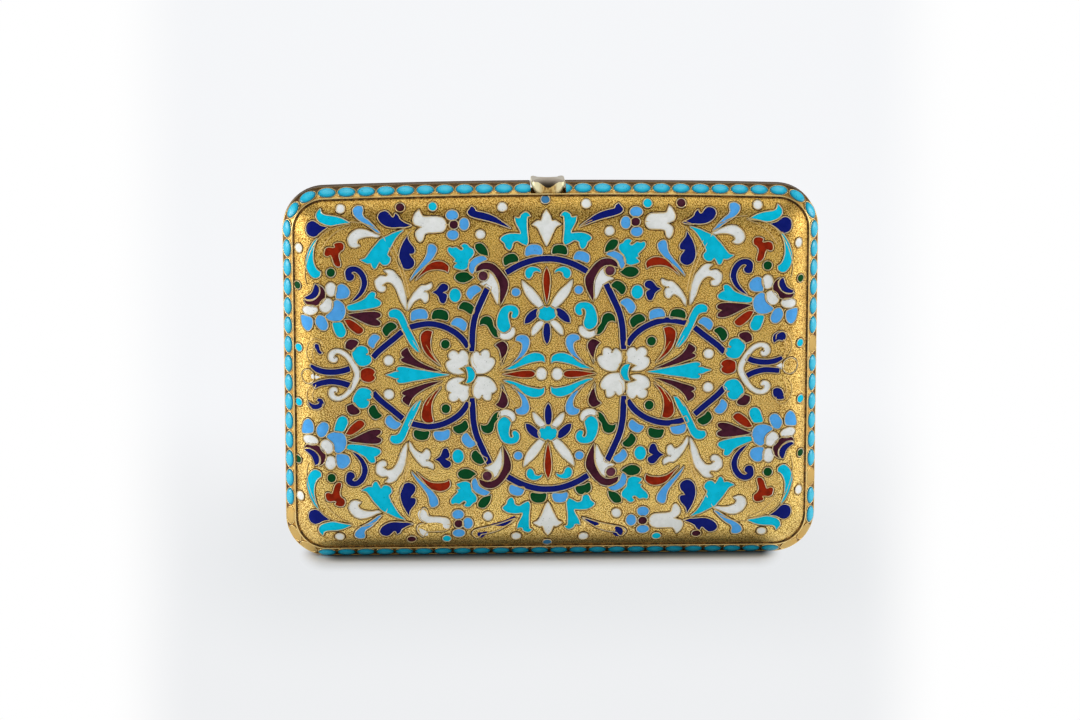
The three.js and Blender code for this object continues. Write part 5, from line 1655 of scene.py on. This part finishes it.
class BuildHinge(bpy.types.Operator):
    """Hinge knuckles and pin, turned"""
    bl_idname = "case.hinge"
    bl_label = "Hinge"

    def execute(self, context):
        finish = plain_gilt("hinge_gilt", rough=0.28)
        pin_finish = plain_gilt("pin_gilt", "worn_gold", 0.3)
        bore, ease, leaf_thick, leaf_start = 0.7, 0.12, 0.5, 0.9
        axle = (0, 0, HINGE_Z)
        for number in range(1, 6):
            side = BASE if number % 2 else LID
            node = "%s_knuckle_%d" % (BODY[side], number)
            low, high = corners(node)
            bm = turned(barrel(bore, KNUCKLE_RADIUS, ease, low.x, high.x) + [(bore, low.x)], "X", axle)
            reach = max(abs(low.y), abs(high.y))
            ends = sorted((side * leaf_start, side * reach))
            leaf = block((low.x + 0.02, ends[0], high.z - 0.26 - leaf_thick / 2),
                         (high.x - 0.02, ends[1], high.z - 0.26 + leaf_thick / 2))
            bmesh.ops.bevel(leaf, geom=leaf.edges[:], offset=0.08, affect="EDGES", segments=2, profile=0.5,
                            material=-1)
            joined(bm, leaf)
            new_piece(node + "_turned", bm, BODY[side], finish, [node], 35)
        low, high = corners("hinge_pin")
        bm = turned(barrel(0.0, PIN_RADIUS, 0.1, low.x, high.x), "X", axle)
        new_piece("hinge_pin_turned", bm, "base", pin_finish, ["hinge_pin"], 35)
        return {"FINISHED"}


class BuildStraps(bpy.types.Operator):
    """Elastic straps, with rolled selvedges, pulled through their staples"""
    bl_idname = "case.straps"
    bl_label = "Elastic straps"

    def execute(self, context):
        finish = elastic_weave()
        staple, fading, around = 1.4, 3.0, 24
        for body in BODY.values():
            node = body + "_strap"
            low, high = corners(node)
            middle, half = (low + high) / 2, (high - low) / 2
            rings = []
            for x in stations(low.x, high.x, 60):
                pinch = 1 - 0.06 * math.exp(-max(0.0, min(x - low.x, high.x - x) - staple) / fading)
                ring = []
                for step in range(around):
                    u, v = squarish(2 * math.pi * step / around, (0.35, 0.6))
                    edge = 0.8 + 0.2 * abs(u) ** 6
                    ring.append((x, middle.y + v * half.y * edge, middle.z + u * half.z * pinch))
                rings.append(ring)
            bm = bmesh.new()
            loft(bm, rings)
            new_piece(body + "_elastic", bm, body, finish, [node], 50)
        return {"FINISHED"}


class BuildSpring(bpy.types.Operator):
    """Arched leaf spring of the catch, drilled for its two rivets"""
    bl_idname = "case.spring"
    bl_label = "Leaf spring"

    def execute(self, context):
        low, high = corners("catch_spring")
        crown, ease = high.z - low.z - SPRING_SHEET, 0.08
        section = [(low.y + ease, 0.0), (high.y - ease, 0.0), (high.y, ease), (high.y, SPRING_SHEET - ease),
                   (high.y - ease, SPRING_SHEET), (low.y + ease, SPRING_SHEET), (low.y, SPRING_SHEET - ease),
                   (low.y, ease)]
        rings = []
        for x in stations(low.x, high.x, 56):
            share = min(1.0, abs(x - THUMB_X) / SPRING_ARCH)
            foot = low.z + crown * (1 + math.cos(math.pi * share)) / 2
            rings.append([(x, y, foot + rise) for y, rise in section])
        bm = bmesh.new()
        loft(bm, rings)
        drill = [(0.0, low.z - 1.0), (RIVET_HOLE, low.z - 1.0), (RIVET_HOLE, low.z + 1.3), (0.0, low.z + 1.3)]
        bm = cut_away(bm, [turned(drill, "Z", (THUMB_X + hand * RIVET_AT, (low.y + high.y) / 2, 0.0), 20)
                           for hand in (-1, 1)])
        spring = new_piece("leaf_spring", bm, "base", spring_metal(), ["catch_spring"], 35)
        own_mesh(spring)
        return {"FINISHED"}


class DressFrame(bpy.types.Operator):
    """Finishes of the frame's own pieces: staples, flanges and catch"""
    bl_idname = "case.frame_pieces"
    bl_label = "Staples, flanges and catch"

    def execute(self, context):
        sheet = plain_gilt("catch_gilt", rough=0.3)
        steel = spring_metal()
        for name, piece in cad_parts.items():
            if piece.type == "MESH":
                for slot in piece.material_slots:
                    slot.material = steel if name in ("catch_spring", "catch_hook", "thumb_stem") else sheet
        return {"FINISHED"}


class BuildStage(bpy.types.Operator):
    """Pale floor, soft lamps and the camera of the photograph"""
    bl_idname = "case.stage"
    bl_label = "Stage"

    def execute(self, context):
        self.floor()
        self.light()
        self.camera()
        bpy.context.scene.view_settings.view_transform = "Standard"
        return {"FINISHED"}

    def floor(self):
        """One wide sheet of paper."""
        bm = bmesh.new()
        bmesh.ops.create_grid(bm, x_segments=1, y_segments=1, size=3.0)
        mesh = bpy.data.meshes.new("floor")
        bm.to_mesh(mesh)
        bm.free()
        mesh.materials.append(floor_finish())
        floor = linked("floor", mesh)

    def light(self):
        """An even sky that metal sees a little darker above, and three soft lamps round the case."""
        world = bpy.data.worlds.new("studio")
        bpy.context.scene.world = world
        sky = Sky(world)
        path = sky.node("ShaderNodeLightPath", {}, {})
        camera, glass, glossy = (Level(sky, path.outputs[name])
                                 for name in ("Is Camera Ray", "Is Transmission Ray", "Is Glossy Ray"))
        overhead = sky.level("ShaderNodeSeparateXYZ", {}, {"Vector": sky.place}, 2)
        mirrored = glossy * (0.16 - overhead.above(0.5, 0.45) * 0.36)
        sky.feed(sky.shader.inputs["Strength"], (camera + glass) * 0.54 + 0.46 + mirrored)
        sky.feed(sky.shader.inputs["Color"], (0.97, 0.985, 1.0))
        middle = Vector((0, 0, 0.04))
        for name, place, size, power in (("lamp_left", (-0.75, -0.12, 0.12), 0.45, 3.7),
                                         ("lamp_right", (0.75, -0.12, 0.12), 0.45, 2.85),
                                         ("lamp_top", (0.0, 0.1, 1.0), 0.9, 3.0)):
            lamp = bpy.data.lights.new(name, "AREA")
            lamp.shape = "SQUARE"
            lamp.size = size
            lamp.energy = power
            holder = linked(name, lamp)
            holder.location = place
            holder.rotation_euler = (middle - Vector(place)).to_track_quat("-Z", "Y").to_euler()

    def camera(self):
        """The photograph's view: its angles, its scale in pixels to the millimetre, and the case's place in it."""
        tilt, turn = math.radians(11.57), math.radians(2.316)
        distance, scale, width, sensor = 800.0, 4.917, 1080.0, 36.0
        shifted = (10.52, 7.71)
        camera = bpy.data.cameras.new("camera")
        camera.sensor_width = sensor
        camera.lens = sensor * scale * distance / width
        camera.clip_end = 20.0
        viewer = linked("camera", camera)
        ahead = Vector((math.sin(turn) * math.cos(tilt), math.cos(turn) * math.cos(tilt), -math.sin(tilt)))
        right = Vector((math.cos(turn), -math.sin(turn), 0))
        target = Vector((0, 0, 38.35)) - right * (shifted[0] / scale) + right.cross(ahead) * (shifted[1] / scale)
        viewer.location = (target - ahead * distance) * MM
        viewer.rotation_euler = ahead.to_track_quat("-Z", "Y").to_euler()
        bpy.context.scene.camera = viewer


class CasePanel(bpy.types.Panel):
    """Buttons and values of the case"""
    bl_idname = "VIEW3D_PT_case"
    bl_label = "Cigarette case"
    bl_space_type = "VIEW_3D"
    bl_region_type = "UI"
    bl_category = "Case"

    def draw(self, context):
        column = self.layout.column()
        for operator in OPERATORS:
            column.operator(operator.bl_idname)
        for group in (context.scene.case_sizes, context.scene.case_colours):
            for key in group.__annotations__:
                column.prop(group, key)


GROUPS = (CaseColours, CaseSizes)
OPERATORS = (DressFrame, BuildShells, BuildBorders, BuildOrnament, BuildThumb, BuildHinge, BuildSpring,
             BuildStraps, BuildStage)


def register():
    for item in GROUPS + OPERATORS + (CasePanel,):
        bpy.utils.register_class(item)
    bpy.types.Scene.case_colours = bpy.props.PointerProperty(type=CaseColours)
    bpy.types.Scene.case_sizes = bpy.props.PointerProperty(type=CaseSizes)


def unregister():
    del bpy.types.Scene.case_sizes
    del bpy.types.Scene.case_colours
    for item in reversed(GROUPS + OPERATORS + (CasePanel,)):
        bpy.utils.unregister_class(item)


def main():
    register()
    bpy.ops.case.frame_pieces()
    bpy.ops.case.shells()
    bpy.ops.case.borders()
    bpy.ops.case.ornament()
    bpy.ops.case.thumb()
    bpy.ops.case.hinge()
    bpy.ops.case.spring()
    bpy.ops.case.straps()
    bpy.ops.case.stage()


if __name__ == "__main__":
    main()
